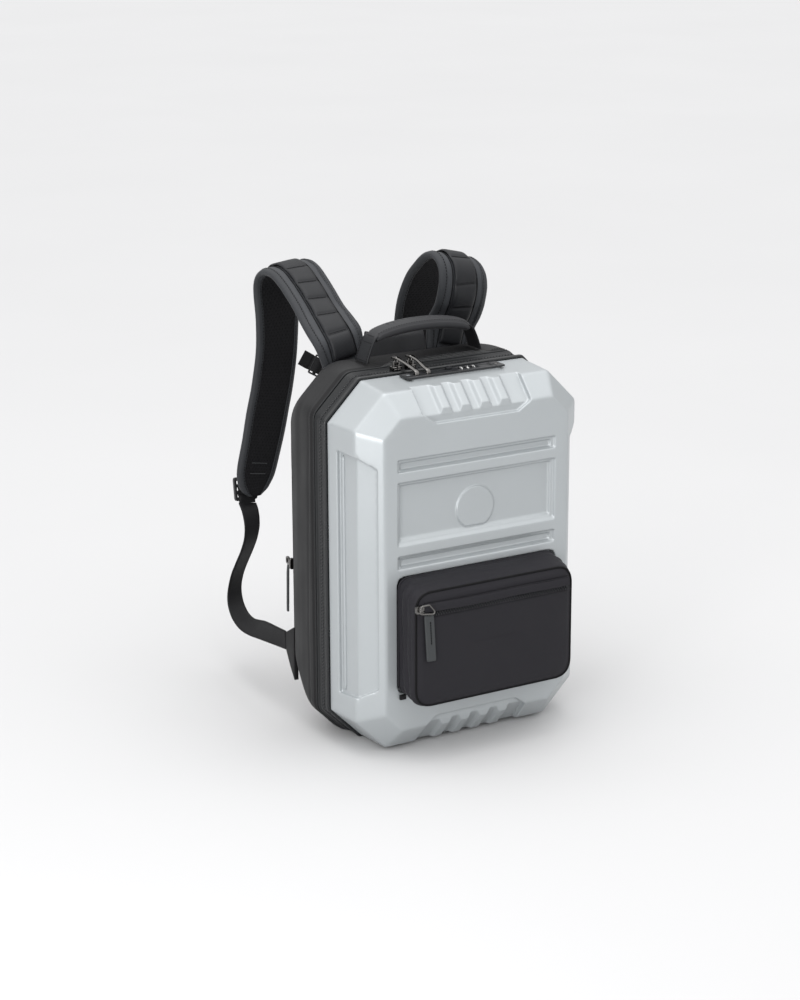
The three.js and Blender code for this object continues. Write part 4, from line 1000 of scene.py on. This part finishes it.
# ----------------------------------------------------------------------- yoke
def build_yoke():
    xs = np.linspace(-41.2, 41.2, 45)
    rings = []
    for x in xs:
        f = abs(x) / 41.2
        top = float(np.interp(x, [-41.2, -30, -12, 12, 30, 41.2], [464.5, 461.5, 457.5, 456.0, 456.0, 457.0]))
        sag = 1.2 * math.sin(x * 0.21) * math.exp(-(x / 34) ** 2) + 0.8 * math.sin(x * 0.09 + 1)
        q = [(101.7, 408.5), (104.5, 407.6), (107.0, 408.2), (107.9 + 0.3 * sag, 416), (108.6 + 0.5 * sag, 426), (110.4 + 0.6 * sag, 434), (112.8, top - 9),
             (113.4, top - 4), (112.6, top - 0.6), (110.4, top), (108.4, top - 1.0), (106.6, top - 3.2), (105.2 + 0.4 * sag, 438), (103.4 + 0.4 * sag, 430), (102.3, 420)]
        rings.append([(x, y, z) for y, z in q])
    R = np.array(rings)
    ob = skin("yoke_cloth", R, "handle", "body_fabric", replaces=("strap_yoke",))
    sub = ob.modifiers.new("Subdivision", "SUBSURF")
    sub.levels = sub.render_levels = 1
    me = evaluated(ob, "yoke_cloth")
    ob.modifiers.clear()
    ob.data = me


build_yoke()


# ---------------------------------------------------------------- carry handle
def build_handle():
    xs = np.linspace(-64, 64, 97)
    keys = np.array([[-64, 10.5, 12.2, 4.4], [-56, 6.4, 13.2, 6.2], [-40, 2.9, 13.7, 6.9], [-20, 0.6, 13.8, 7.0], [0, 0, 13.8, 7.0],
                     [20, 0.6, 13.8, 7.0], [40, 2.9, 13.7, 6.9], [56, 6.4, 13.2, 6.2], [64, 10.5, 12.2, 4.4]])
    K = catmull(keys, 12)
    mid = np.stack([K[:, 0], np.full(len(K), 53.0), 479.0 - K[:, 1]], 1)
    rib = Ribbon(mid, np.tile([0, 1, 0], (len(K), 1)), K[:, 2])
    flipz = 1 if rib.up[len(K) // 2][2] > 0 else -1
    rings = []
    t = np.linspace(0, 2 * math.pi, 56, endpoint=False)
    for s in np.linspace(0, rib.s[-1], 200):
        w = rib.width(s)
        x = np.interp(s, rib.s, mid[:, 0])
        th = np.interp(s, rib.s, K[:, 3])
        c, sn = np.cos(t), np.sin(t)
        u = w * np.sign(c) * np.abs(c) ** 0.75
        h = th * np.sign(sn) * np.abs(sn) ** 0.8
        h = h + np.where(sn > 0, 0.8 * (1 - (u / w) ** 2), -0.3 * (1 - (u / w) ** 2))
        # a row of pressed lozenges along the top
        cell = ((x + 3.5) / 7.0)
        loz = np.clip(1 - (np.abs((cell % 1) - 0.5) * 2.6 + np.abs(np.abs(u) - 0.0) / 5.5), 0, 1)
        h = h - np.where((sn > 0) & (abs(x) < 44), 0.9 * np.minimum(loz * 3, 1), 0)
        # seam lines along both upper edges
        seam = np.exp(-((t - 0.42) / 0.06) ** 2) + np.exp(-((t - (math.pi - 0.42)) / 0.06) ** 2)
        k = 1 - 0.055 * seam
        sec = np.stack([u * k, flipz * h * k], 1)
        rings.append(rib.at(np.full(len(sec), s), sec[:, 0], sec[:, 1]))
    ob = skin("grip_pad", rings, "handle", "handle_fabric", replaces=("handle_grip",))
    runs = []
    s = np.linspace(5, rib.s[-1] - 5, 120)
    for e in (-1, 1):
        u = e * (rib.width(s) * 0.80)
        h = np.interp(s, rib.s, K[:, 3]) * 0.62 * flipz + 0.9 * flipz
        path = rib.at(s, u, h)
        runs.append((path, rib.at(s, u * 1.05, h + flipz) - path))
    stitches("grip_stitches", runs, "thread", "handle_fabric", width=0.8, length=2.4, gap=1.1)
    for name, side, mat in (("left", -1, "webg"), ("right", 1, "web")):
        base = 440.8
        P = catmull([[side * x, 53.0, base + z] for x, z in ((78.2, 1.1), (75.8, 9.0), (72.4, 18.0), (68.2, 26.6), (65.0, 30.2), (60.0, 31.6))], 8)
        r = Ribbon(P, np.tile([0, 1, 0], (len(P), 1)), np.full(len(P), 14.0))
        sec = lambda s: rect_section(13.9 - 2.0 * np.clip((s - 27) / 10, 0, 1), 2.3, 0.5, n=9)
        skin(f"handle_webbing_{name}", r.sweep(np.linspace(0, r.s[-1], 48), sec), mat, "webbing", replaces=(f"handle_tab_{name}",))
        sgn = 1 if (r.at(5.0, 0, 1) - r.at(5.0, 0, 0))[0] * side > 0 else -1
        run = []
        for u in (-11.6, 11.6):
            ss2 = np.linspace(1, 24, 24)
            path = r.at(ss2, np.full(24, u), np.full(24, sgn * 1.2))
            run.append((path, r.at(ss2, np.full(24, u), np.full(24, sgn * 2.2)) - path))
        for s0 in (2.2, 24.0):
            u = np.linspace(-11.4, 11.4, 20)
            path = r.at(np.full(20, s0), u, np.full(20, sgn * 1.2))
            run.append((path, r.at(np.full(20, s0), u, np.full(20, sgn * 2.2)) - path))
        stitches(f"handle_webbing_stitches_{name}", run, "thread", "webbing", width=0.8, length=2.2, gap=0.9)


build_handle()


# ------------------------------------------------------------- free webbing
def web(name, rows, node, hw, t, mat="web", up_ref=None):
    P = catmull([r[0] for r in rows], 6)
    S = catmull([r[1] for r in rows], 6)
    r = Ribbon(P, S, np.full(len(P), hw))
    skin(name, r.sweep(np.linspace(0, r.s[-1], max(12, int(r.s[-1] / 2.2))), lambda s: rect_section(hw, t, 0.4, n=9)), mat, "webbing", replaces=(node,))
    runs = []
    ss = np.linspace(0.5, r.s[-1] - 0.5, max(8, int(r.s[-1] / 3)))
    for sgn in (1, -1):
        for u in (-hw + 2.2, hw - 2.2):
            path = r.at(ss, np.full(len(ss), u), np.full(len(ss), sgn * t * 0.5))
            runs.append((path, r.at(ss, np.full(len(ss), u), np.full(len(ss), sgn * (t * 0.5 + 1))) - path))
    stitches(f"{name}_edge", runs, "thread", "webbing", width=0.6, length=1.6, gap=1.5, high=0.2)
    return r


CH_A = [((-43.6, 264.5, 402.5), (0.5, 0, 0.87)), ((-39, 262.5, 399.5), (0.5, 0, 0.87)), ((-33.5, 260.2, 395.8), (0.5, 0, 0.87))]
CH_B = [((-17.2, 253.2, 386.2), (0.45, 0, 0.9)), ((-10, 249.5, 382.8), (0.35, 0, 0.95)), ((-2.6, 245.4, 380.2), (0.25, 0, 1))]
CH_C = [((29.6, 224.0, 381.4), (-0.3, 0, 1)), ((38, 216.5, 386.0), (-0.4, 0, 0.95)), ((46.2, 208.6, 392.6), (-0.45, 0, 0.9))]
web("chest_web_left", CH_A, "chest_webbing_left", 10, 1.6)
web("chest_web_middle", CH_B, "chest_webbing_middle", 10, 1.6)
web("chest_web_right", CH_C, "chest_webbing_right", 10, 1.6)
LOW_L = [((-119, 274.5, 221), (1, 0.1, 0)), ((-121, 263, 213), (1, 0.1, 0)), ((-122.5, 256, 198), (1, 0.2, 0)), ((-124, 257, 181), (1, 0.3, 0)),
         ((-125, 266, 163), (1, 0.35, 0)), ((-126.5, 278, 144), (1, 0.35, 0)), ((-129, 288, 124), (1, 0.35, 0)), ((-132, 290, 105), (1, 0.35, 0.05)),
         ((-135.5, 281, 89), (1, 0.3, 0.1)), ((-139, 262, 78.5), (1, 0.25, 0.2)), ((-142.5, 237, 75.5), (0.9, 0.2, 0.4)), ((-146, 210, 79), (0.7, 0.1, 0.7)),
         ((-149, 182, 84.5), (0.45, 0, 0.9)), ((-151.2, 150, 89), (0.2, 0, 1)), ((-151.8, 114.4, 92.5), (0, 0, 1))]
LOW_R = [((117, 232.5, 227), (1, -0.1, 0)), ((119, 221, 219), (1, -0.1, 0)), ((120.5, 214, 204), (1, -0.2, 0)), ((122, 214.5, 186), (1, -0.3, 0)),
         ((124, 222, 167), (1, -0.35, 0)), ((126.5, 233, 148), (1, -0.35, 0)), ((129, 243, 128), (1, -0.35, 0)), ((132, 246, 109), (1, -0.35, 0.05)),
         ((135.5, 239, 93), (1, -0.3, 0.1)), ((139, 224, 82.5), (1, -0.25, 0.2)), ((142.5, 205, 79.5), (0.9, -0.2, 0.4)), ((146, 185, 82), (0.7, -0.1, 0.7)),
         ((149, 166, 86), (0.45, 0, 0.9)), ((151.2, 142, 89.5), (0.2, 0, 1)), ((151.8, 114.4, 92.5), (0, 0, 1))]
web("lower_web_left", LOW_L, "lower_webbing_left", 12, 1.8)
web("lower_web_right", LOW_R, "lower_webbing_right", 12, 1.8)

def threaded(name, a, b, side, hw, t, bow, waves=1.0, mat="web"):
    """Webbing between two points that weaves over a bar: bow is how far it stands off in the middle."""
    a, b = np.array(a, float), np.array(b, float)
    f = np.linspace(0, 1, 30)
    run = unit(b - a)
    s = unit(np.asarray(side, float))
    n = unit(np.cross(s, run))
    h = bow * np.sin(math.pi * f * waves) ** 2
    P = a + (b - a) * f[:, None] + n * h[:, None]
    r = Ribbon(P, np.tile(s, (30, 1)), np.full(30, hw))
    skin(name, r.sweep(np.linspace(0, r.s[-1], 40), lambda q: rect_section(hw, t, 0.4, n=7)), mat, "webbing")


threaded("chest_web_over_slider", (-33.8, 260.2, 395.9), (-17.0, 253.3, 386.3), (0.5, 0, 0.87), 9.6, 1.4, 3.1)
threaded("chest_web_under_slider", (-33.8, 260.2, 395.9), (-17.0, 253.3, 386.3), (0.5, 0, 0.87), 9.6, 1.2, -2.6)
threaded("chest_web_into_buckle_left", (-3.0, 245.6, 380.3), (3.0, 242.0, 379.6), (0.1, 0, 1), 9.6, 1.5, 0.0)
threaded("chest_web_into_buckle_right", (24.2, 228.2, 379.6), (30.0, 223.7, 381.6), (-0.15, 0, 1), 9.6, 1.5, 0.0)
for tag, sx, ax, ay, az, top, low in (("left", -1, -118.0, 282.0, 238.6, (-110.5, 271.2, 233.5), (-119.0, 274.6, 221.2)),
                                      ("right", 1, 116.0, 240.8, 244.8, (108.5, 230.4, 239.0), (117.0, 232.6, 227.2))):
    tilt = np.array([0.0, math.sin(math.radians(10)), math.cos(math.radians(10))])
    mid = np.array([ax, ay, az])
    w = (math.cos(math.radians(6)), sx * math.sin(math.radians(6)), 0)
    threaded(f"adjuster_upper_web_{tag}", top, mid + tilt * 10.5, w, 11.0, 1.6, 1.5 * sx)
    threaded(f"adjuster_lower_web_{tag}", low, mid - tilt * 5.0, w, 11.0, 1.6, 2.0)
    threaded(f"adjuster_cross_web_{tag}", mid - tilt * 6.0, mid + tilt * 6.0, w, 11.0, 1.6, 3.4)

for node, mat, slot, width in (
    ("chest_slider", "buckle", "buckle", 0.5), ("chest_buckle", "buckle", "buckle", 0.7), ("strap_adjuster_left", "buckle", "buckle", 0.7),
    ("strap_adjuster_right", "buckle", "buckle", 0.7), ("anchor_tab_left", "body", "body_fabric", 0.6), ("anchor_tab_right", "body", "body_fabric", 0.6),
    ("main_zip_slider_1", "metal", "zip_metal", 0.5), ("main_zip_slider_2", "metal", "zip_metal", 0.5), ("side_zip_slider", "metal", "zip_metal", 0.4),
    ("side_zip_ring", "metal", "zip_metal", 0.35), ("side_zip_puller", "pull", "buckle", 0.6), ("pocket_slider", "metal", "zip_metal", 0.5),
    ("pocket_corner_tab", "web", "webbing", 0.5), ("lock_dot", "dot", "dot", 0.25),
):
    soften(f"{node}_finished", node, mat, width)



# ------------------------------------------------------------------------ lock
def rounded_plate(x0, x1, y0, y1, z0, z1, r, bevel):
    o0 = outline([(x1, y0), (x1, y1), (x0, y1), (x0, y0)], r, 6, [4, 20, 4, 20])
    o1 = outline([(x1 - bevel, y0 + bevel), (x1 - bevel, y1 - bevel), (x0 + bevel, y1 - bevel), (x0 + bevel, y0 + bevel)], max(0.5, r - bevel), 6, [4, 20, 4, 20])
    om = outline([(x1 - bevel * 0.3, y0 + bevel * 0.3), (x1 - bevel * 0.3, y1 - bevel * 0.3), (x0 + bevel * 0.3, y1 - bevel * 0.3), (x0 + bevel * 0.3, y0 + bevel * 0.3)], r, 6, [4, 20, 4, 20])
    lay = lambda o, z: np.stack([o[:, 0], o[:, 1], np.full(len(o), z)], 1)
    return [lay(o0, z0), lay(o0, z1 - bevel), lay(om, z1 - bevel * 0.3), lay(o1, z1)]


soften("lock_plate_finished", "lock_plate", "lock", 0.3, 2)
soften("lock_button_finished", "lock_button", "lock", 0.35, 2, body=frame["nodes"]["lock_button"]["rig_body"])

SEG = {"0": "abcdef", "1": "bc", "2": "abged", "3": "abgcd", "4": "fgbc", "5": "afgcd", "6": "afgedc", "7": "abc", "8": "abcdefg", "9": "abcdfg"}
SEGS = {"a": ((-1, 2), (1, 2)), "b": ((1, 2), (1, 0)), "c": ((1, 0), (1, -2)), "d": ((-1, -2), (1, -2)), "e": ((-1, 0), (-1, -2)), "f": ((-1, 2), (-1, 0)), "g": ((-1, 0), (1, 0))}


def build_dials():
    y0, z0 = -17.6, 433.6
    for k, x in enumerate((13.6, 22.0, 30.4)):
        node = f"lock_dial_{k + 1}"
        body = frame["nodes"][node]["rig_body"]
        n, r = 120, 5.2
        t = np.linspace(0, 2 * math.pi, n, endpoint=False)
        rings = []
        for dx, dr in ((-2.2, 1.6), (-2.2, 0.55), (-2.05, 0.3), (-1.9, 0.12), (-1.2, 0.0), (0, 0), (1.2, 0.0), (1.9, 0.12), (2.05, 0.3), (2.2, 0.55), (2.2, 1.6)):
            notch = 0.32 * np.clip((np.cos(t * 10 + math.pi) - 0.72) / 0.28, 0, 1) if abs(dx) < 2.1 else 0 * t
            rr = r - dr - notch
            rings.append(np.stack([np.full(n, x + dx), y0 + rr * np.sin(t), z0 + rr * np.cos(t)], 1))
        skin(f"dial_wheel_{k + 1}", rings, "dial", "dial", body=body, replaces=(node,), angle=35)
        pts, faces = [], []
        shown = (4, 7, 2)[k]
        for d in range(10):
            ang = 2 * math.pi * (d - shown) / 10
            for seg in SEG[str(d)]:
                (ax, ay), (bx, by) = SEGS[seg]
                horizontal = ay == by
                steps = 3
                half = 0.2
                rows = []
                for j in range(steps + 1):
                    f = j / steps
                    px, py = (ax + (bx - ax) * f) * 0.8, (ay + (by - ay) * f) * 0.62
                    rows.append((px, py))
                base = len(pts)
                for px, py in rows:
                    for s in (-half, half):
                        ux, uy = (px, py + s) if horizontal else (px + s, py)
                        a = ang + uy / r
                        for rr in (r - 0.15, r + 0.05):
                            pts.append((x + ux, y0 + rr * -math.sin(-a) * 1.0, z0 + rr * math.cos(a)))
                for j in range(steps):
                    o = base + j * 4
                    faces += [(o + 1, o + 3, o + 7, o + 5), (o, o + 4, o + 6, o + 2), (o, o + 1, o + 5, o + 4), (o + 2, o + 6, o + 7, o + 3)]
                faces += [(base, base + 2, base + 3, base + 1), (base + steps * 4, base + steps * 4 + 1, base + steps * 4 + 3, base + steps * 4 + 2)]
        make(f"dial_digits_{k + 1}", pts, faces, "digit", "dial", body=body, smooth=False)


build_dials()

# a raised frame around the dials' window, and a ring at the keyhole in its square
o = outline([(36.0, -23.6), (36.0, -11.6), (8.0, -11.6), (8.0, -23.6)], 2.2, 5, [8, 18, 8, 18])
skin("lock_window_frame", tube(np.stack([o[:, 0], o[:, 1], np.full(len(o), 437.05)], 1), 0.45, 8, up=(0, 0, 1), closed=True), "lock", "lock", wrap=True)
t = np.linspace(0, 2 * math.pi, 40, endpoint=False)
skin("lock_key_ring", tube(np.stack([62.6 + 2.6 * np.cos(t), -17.6 + 2.6 * np.sin(t), np.full(40, 437.05)], 1), 0.3, 8, closed=True), "metal", "lock", wrap=True)


# -------------------------------------------------------------- main zip pullers
def build_pullers():
    for k, x in enumerate((-52.5, -33.5)):
        tip = (-45.5, -30.0)[k]
        z = 437.4
        P = catmull([(x + 0.6, 24.4, z + 12.4), (x + 1.2, 19.0, z + 13.0), (x + 2.6, 8.0, z + 10.6), (tip - 0.8, -8.0, z + 5.6), (tip, -16.8, z + 2.6), (tip, -18.6, z - 2.4)], 10)
        r = Ribbon(P, np.tile([1, 0, 0], (len(P), 1)), np.full(len(P), 3.0))

        def sec(s, L=r.s[-1]):
            f = s / L
            w = 3.1 + 0.5 * math.cos(f * 6.0) * (1 - f) - 0.55 * math.exp(-((f - 0.42) / 0.16) ** 2) - 0.4 * f
            th = 1.15 + 0.25 * math.exp(-((f - 0.12) / 0.1) ** 2)
            tt = np.linspace(0, 2 * math.pi, 16, endpoint=False)
            return np.stack([w * np.sign(np.cos(tt)) * np.abs(np.cos(tt)) ** 0.6, th * np.sign(np.sin(tt)) * np.abs(np.sin(tt)) ** 0.7], 1)
        skin(f"zip_puller_bar_{k + 1}", r.sweep(np.linspace(0, r.s[-1], 60), sec), "metal", "zip_metal", replaces=(f"main_zip_puller_{k + 1}",))
        # bridge loop between slider and puller
        a = np.linspace(0, 2 * math.pi, 28, endpoint=False)
        loop = np.stack([np.full(28, x), 18.0 + 3.4 * np.cos(a), z + 9.4 + 4.4 * np.sin(a)], 1)
        skin(f"zip_bridge_{k + 1}", tube(loop, 1.0, 8, up=(1, 0, 0), closed=True), "metal", "zip_metal", wrap=True)
        # eye ring at the puller's head
        eye = np.stack([x + 1.0 + 3.2 * np.cos(a), 21.5 + 3.2 * np.sin(a), z + 13.0 + 0 * a], 1)
        skin(f"zip_puller_eye_{k + 1}", tube(eye, 0.9, 8, closed=True), "metal", "zip_metal", wrap=True)


build_pullers()


def slider_body(name, x, y, z, length=12.0, width=10.0, high=3.6, toward=-1):
    """A zip slider's rounded shield, narrow at the closing end, with its two flanges."""
    rings = []
    tt = np.linspace(0, 2 * math.pi, 40, endpoint=False)
    for k, (grow, dz) in enumerate(((0.82, 0.0), (0.97, 0.25), (1.0, 0.7), (1.0, 1.1), (0.93, 1.5), (0.93, 2.1), (1.0, 2.5), (1.0, high - 0.9), (0.95, high - 0.35), (0.8, high), (0.5, high + 0.25))):
        c, sn = np.cos(tt), np.sin(tt)
        taper = 1 - 0.16 * sn * toward
        px = x + grow * width / 2 * np.sign(c) * np.abs(c) ** 0.62 * taper
        py = y + grow * length / 2 * np.sign(sn) * np.abs(sn) ** 0.62
        rings.append(np.stack([px, py, np.full(40, z + dz)], 1))
    skin(name, rings, "metal", "zip_metal")


for k, x in enumerate((-52.5, -33.5)):
    slider_body(f"zip_slider_shield_{k + 1}", x, 18.0, 437.0, 11.6, 13.0, 4.2)

# ---------------------------------------------------------------- front pocket
POCKET = [(-72.4, 107.6, 78.0, 216.6, 14), (-80.0, 108.2, 77.2, 217.4, 16), (-95.0, 109.4, 73.0, 215.4, 20), (-109.0, 109.6, 69.6, 211.4, 22),
          (-115.0, 106.6, 71.4, 208.6, 22), (-118.2, 100.0, 77.4, 202.6, 22)]


def pocket_ring(row, cut=0.0):
    y, x, zb, zt, r = row
    return outline([(x - cut, zb + cut), (x - cut, zt - cut), (-x + cut, zt - cut), (-x + cut, zb + cut)], max(4, r - cut), 10, [34, 60, 34, 60])


def build_pocket():
    rows = catmull(POCKET, 9)
    rings = np.array([ring3(pocket_ring(r), r[0]) for r in rows])
    X, Y, Z = rings[..., 0], rings[..., 1], rings[..., 2]
    t = np.roll(rings, -1, 1) - np.roll(rings, 1, 1)
    out = unit(np.stack([t[..., 2], 0 * X, -t[..., 0]], -1))
    out *= np.sign((out * (rings - np.array([0, 0, 144.0]))).sum(2, keepdims=True))
    side = np.clip((np.abs(X) - 98) / 8, 0, 1)
    depth = np.clip((-Y - 74) / 8, 0, 1) * np.clip((112 + Y) / 6, 0, 1)
    wave = 0.9 * np.sin((Y + 4 * np.sin(Z * 0.03)) * 0.52 + 0.6) + 0.5 * np.sin(Z * 0.07 + Y * 0.2)
    disp = depth * (side * wave - side * 1.6 * np.exp(-((Z - 144) / 46) ** 2) + (1 - side) * 0.35 * np.sin(X * 0.05 + Y * 0.12))
    # a seam line around the box near the shell
    disp -= 0.8 * np.exp(-((Y + 84) / 0.9) ** 2)
    rings = rings + out * disp[..., None]
    front = []
    for cut, bulge in ((3, 0.5), (7, 1.0), (14, 1.6), (24, 2.1), (38, 2.4), (54, 2.4), (66, 2.3)):
        y, x, zb, zt, r = POCKET[-1]
        o = outline([(x - cut, zb + cut * 0.92), (x - cut, zt - cut * 0.92), (-x + cut, zt - cut * 0.92), (-x + cut, zb + cut * 0.92)], max(1.0, r - cut * 0.8), 10, [34, 60, 34, 60])
        rg = ring3(o, y - bulge)
        ripple = 0.35 * np.sin(rg[:, 0] * 0.045 + 1.1) * np.sin(rg[:, 2] * 0.06) + 0.22 * np.sin(rg[:, 0] * 0.11 + rg[:, 2] * 0.09)
        rg[:, 1] += ripple * min(1, cut / 14)
        front.append(rg)
    back = [ring3(pocket_ring(POCKET[0], c), POCKET[0][0] + dy) for c, dy in ((2.0, 0.0), (2.0, -20.0), (20.0, -38.0), (60.0, -40.0))]
    allr = list(reversed(back)) + list(rings) + front
    ob = skin("pocket_cloth_box", allr, "pocket", "pocket_fabric", replaces=("front_pocket",))
    # piping around the front edge
    y, x, zb, zt, r = POCKET[4]
    o = outline([(x, zb), (x, zt), (-x, zt), (-x, zb)], r, 12, [40, 70, 40, 70])
    skin("pocket_piping", tube(ring3(o, -115.4), 1.35, 8, up=(0, 1, 0), closed=True), "thread", "pocket_fabric", wrap=True)
    y, x, zb, zt, r = POCKET[1]
    o = outline([(x, zb), (x, zt), (-x, zt), (-x, zb)], r, 12, [40, 70, 40, 70])
    skin("pocket_piping_rear", tube(ring3(o, -79.2), 1.1, 8, up=(0, 1, 0), closed=True), "pocket", "pocket_fabric", wrap=True)
    # upper flap edge and the zip's coil under it
    xs = np.linspace(-98, 101, 120)
    yf = lambda x, z: -119.2 - 1.5 * np.clip((1 - (np.abs(x) / 104) ** 4), 0, 1)
    z1 = 196.0 + 0.6 * np.sin(xs * 0.04)
    skin("pocket_flap_edge", tube(np.stack([xs, yf(xs, z1) + 0.2, z1], 1), 0.6, 6), "pocket", "pocket_fabric")
    rowsf = []
    for x in np.linspace(-98, 101, 90):
        yv = yf(np.array(x), 0)
        zz = [186.4, 186.9, 190.5, 194.2, 195.6, 195.6, 190.5, 186.4]
        yy = [-1.6, -2.1, -1.9, -1.4, -0.7, 0.2, 0.2, 0.2]
        rowsf.append([(x, yv + b, a + 0.4 * math.sin(x * 0.05)) for a, b in zip(zz, yy)])
    skin("pocket_zip_flap", rowsf, "pocket", "pocket_fabric", angle=45)
    pts, faces = [], []
    for j, x in enumerate(np.arange(-97.0, 100.0, 1.75)):
        yv = float(yf(np.array(x), 0)) - 0.25
        z = 183.4 + (1.1 if j % 2 else -1.1)
        base = len(pts)
        for dz, h in ((-1.5, 0.5), (-1.0, -0.7), (1.0, -0.7), (1.5, 0.5)):
            for w in (-0.52, 0.52):
                pts.append((x + w, yv + h, z + dz))
        faces += [tuple(base + i for i in q) for q in ((0, 1, 3, 2), (2, 3, 5, 4), (4, 5, 7, 6), (6, 7, 1, 0), (0, 2, 4, 6), (1, 7, 5, 3))]
    make("pocket_zip_coil", pts, faces, "coil", "zip_tape", smooth=False)
    runs = []
    for z in (197.8, 179.6):
        path = np.stack([xs, yf(xs, z) - 0.25 + (0.5 if z > 190 else 0.0), np.full(len(xs), z)], 1)
        runs.append((path, np.tile([0, -1, 0], (len(xs), 1))))
    stitches("pocket_stitches", runs, "thread", "pocket_fabric", width=0.6, length=2.0, gap=1.2, high=0.25)


build_pocket()


# pocket puller: a bent loop of polished wire-like bar, and the moulded pull
def build_pocket_pull():
    poly = [(-107.0, 188.0), (-89.0, 185.4), (-87.4, 188.4), (-94.6, 197.2), (-105.4, 197.0)]
    o = outline(poly, 3.0, 6, [6, 3, 6, 6, 5])
    skin("pocket_puller_loop", tube(ring3(o, -125.4), 1.15, 10, up=(0, 1, 0), closed=True), "metal", "zip_metal", wrap=True, replaces=("pocket_puller",))
    quad = [(-84.2, 127.6), (-87.4, 183.0), (-99.8, 184.6), (-96.2, 128.2)]
    lay = lambda cut, y: ring3(outline(list(np.array(quad) + cut * np.array([(-1, 1), (-1, -1), (1, -1), (1, 1)])), 2.4 - cut * 0.5, 5, [24, 6, 24, 5]), y)
    rings = [lay(0.8, -121.4), lay(0.0, -121.9), lay(0.0, -123.2), lay(0.5, -123.9), lay(1.2, -124.1), lay(2.4, -123.7), lay(4.0, -123.6)]
    skin("pocket_pull_moulded", rings, "pull", "pull_tab", replaces=("pocket_pull_tab",), angle=50)
    slit = []
    a, b = np.array([-92.2, -123.9, 176.0]), np.array([-90.6, -123.9, 146.0])
    path = np.array([a + (b - a) * f for f in np.linspace(0, 1, 30)])
    slit.append((path, np.tile([0, -1, 0], (30, 1))))
    stitches("pocket_pull_stitch", slit, "thread", "pull_tab", width=1.3, length=2.6, gap=0.5, high=0.35)


build_pocket_pull()

# -------------------------------------------------- floor, lights and camera
me = bpy.data.meshes.new("studio_floor")
me.from_pydata([(-60, -60, 0), (60, -60, 0), (60, 60, 0), (-60, 60, 0)], [], [(0, 1, 2, 3)])
floor = bpy.data.objects.new("studio_floor", me)
scene.collection.objects.link(floor)
fm, fn, fl, fb = principled("floor_paint", (0.5, 0.5, 0.5), 0.9, spec=0.0)
fc = noise(fn, fl, coords(fn, "Object"), 1.2, 3)
fl.new(ramp(fn, fl, fc, [(0.3, (0.55, 0.55, 0.552)), (0.7, (0.56, 0.56, 0.562))]), fb.inputs["Base Color"])
me.materials.append(fm)

world = bpy.data.worlds.new("studio")
scene.world = world
world.use_nodes = True
wn, wl = world.node_tree.nodes, world.node_tree.links
bg = wn["Background"]
tc = wn.new("ShaderNodeTexCoord")


def lobe(direction, sharp):
    d = Vector(direction).normalized()
    dot = wn.new("ShaderNodeVectorMath")
    dot.operation = "DOT_PRODUCT"
    wl.new(tc.outputs["Generated"], dot.inputs[0])
    dot.inputs[1].default_value = d
    return mathn(wn, wl, "POWER", mathn(wn, wl, "MAXIMUM", dot.outputs["Value"], 0.0), sharp)


light = mathn(wn, wl, "ADD", mathn(wn, wl, "MULTIPLY", lobe((-0.1, -0.1, 1.0), 1.6), 1.85),
              mathn(wn, wl, "MULTIPLY", lobe((-0.85, -0.75, 0.25), 6.0), 0.35))
light = mathn(wn, wl, "ADD", light, mathn(wn, wl, "MULTIPLY", lobe((0.7, -0.6, 0.35), 8.0), 0.35))
total = mathn(wn, wl, "ADD", light, 0.46)
col = wn.new("ShaderNodeCombineColor")
for i, k in enumerate((1.0, 1.0, 1.005)):
    wl.new(mathn(wn, wl, "MULTIPLY", total, k), col.inputs[i])
wl.new(col.outputs[0], bg.inputs["Color"])
bg.inputs["Strength"].default_value = 1.0


def area(name, pos, target, size, power):
    ld = bpy.data.lights.new(name, "AREA")
    ld.shape, ld.size, ld.size_y, ld.energy = "RECTANGLE", size[0], size[1], power
    ob = bpy.data.objects.new(name, ld)
    scene.collection.objects.link(ob)
    ob.location = pos
    ob.rotation_euler = (Vector(target) - Vector(pos)).to_track_quat("-Z", "Y").to_euler()


area("softbox_left", (-1.45, -1.15, 0.5), (0, -0.1, 0.24), (0.4, 0.9), 11.0)
area("softbox_top", (0.0, -0.1, 2.3), (0, -0.02, 0.3), (1.6, 1.0), 7.0)

a, e, roll = math.radians(30.78), math.radians(16.31), math.radians(-0.21)
d = Vector((math.sin(a) * math.cos(e), math.cos(a) * math.cos(e), -math.sin(e)))
right = Vector((math.cos(a), -math.sin(a), 0))
up = right.cross(d)
r_ = right * math.cos(roll) + up * math.sin(roll)
u_ = -right * math.sin(roll) + up * math.cos(roll)
pos = Vector((0, -84.51, 254.2)) - d * 2817.23 - r_ * 50.16 + u_ * 22.36
cam = bpy.data.objects.new("photo_camera", bpy.data.cameras.new("photo_camera"))
scene.collection.objects.link(cam)
cam.matrix_world = Matrix((
    (r_.x, u_.x, -d.x, pos.x * 0.001), (r_.y, u_.y, -d.y, pos.y * 0.001), (r_.z, u_.z, -d.z, pos.z * 0.001), (0, 0, 0, 1)))
cam.data.sensor_width = cam.data.sensor_height = 36.0
cam.data.sensor_fit = "AUTO"
cam.data.lens = 85.38
cam.data.clip_end = 200
scene.camera = cam
scene.view_settings.view_transform = "Standard"
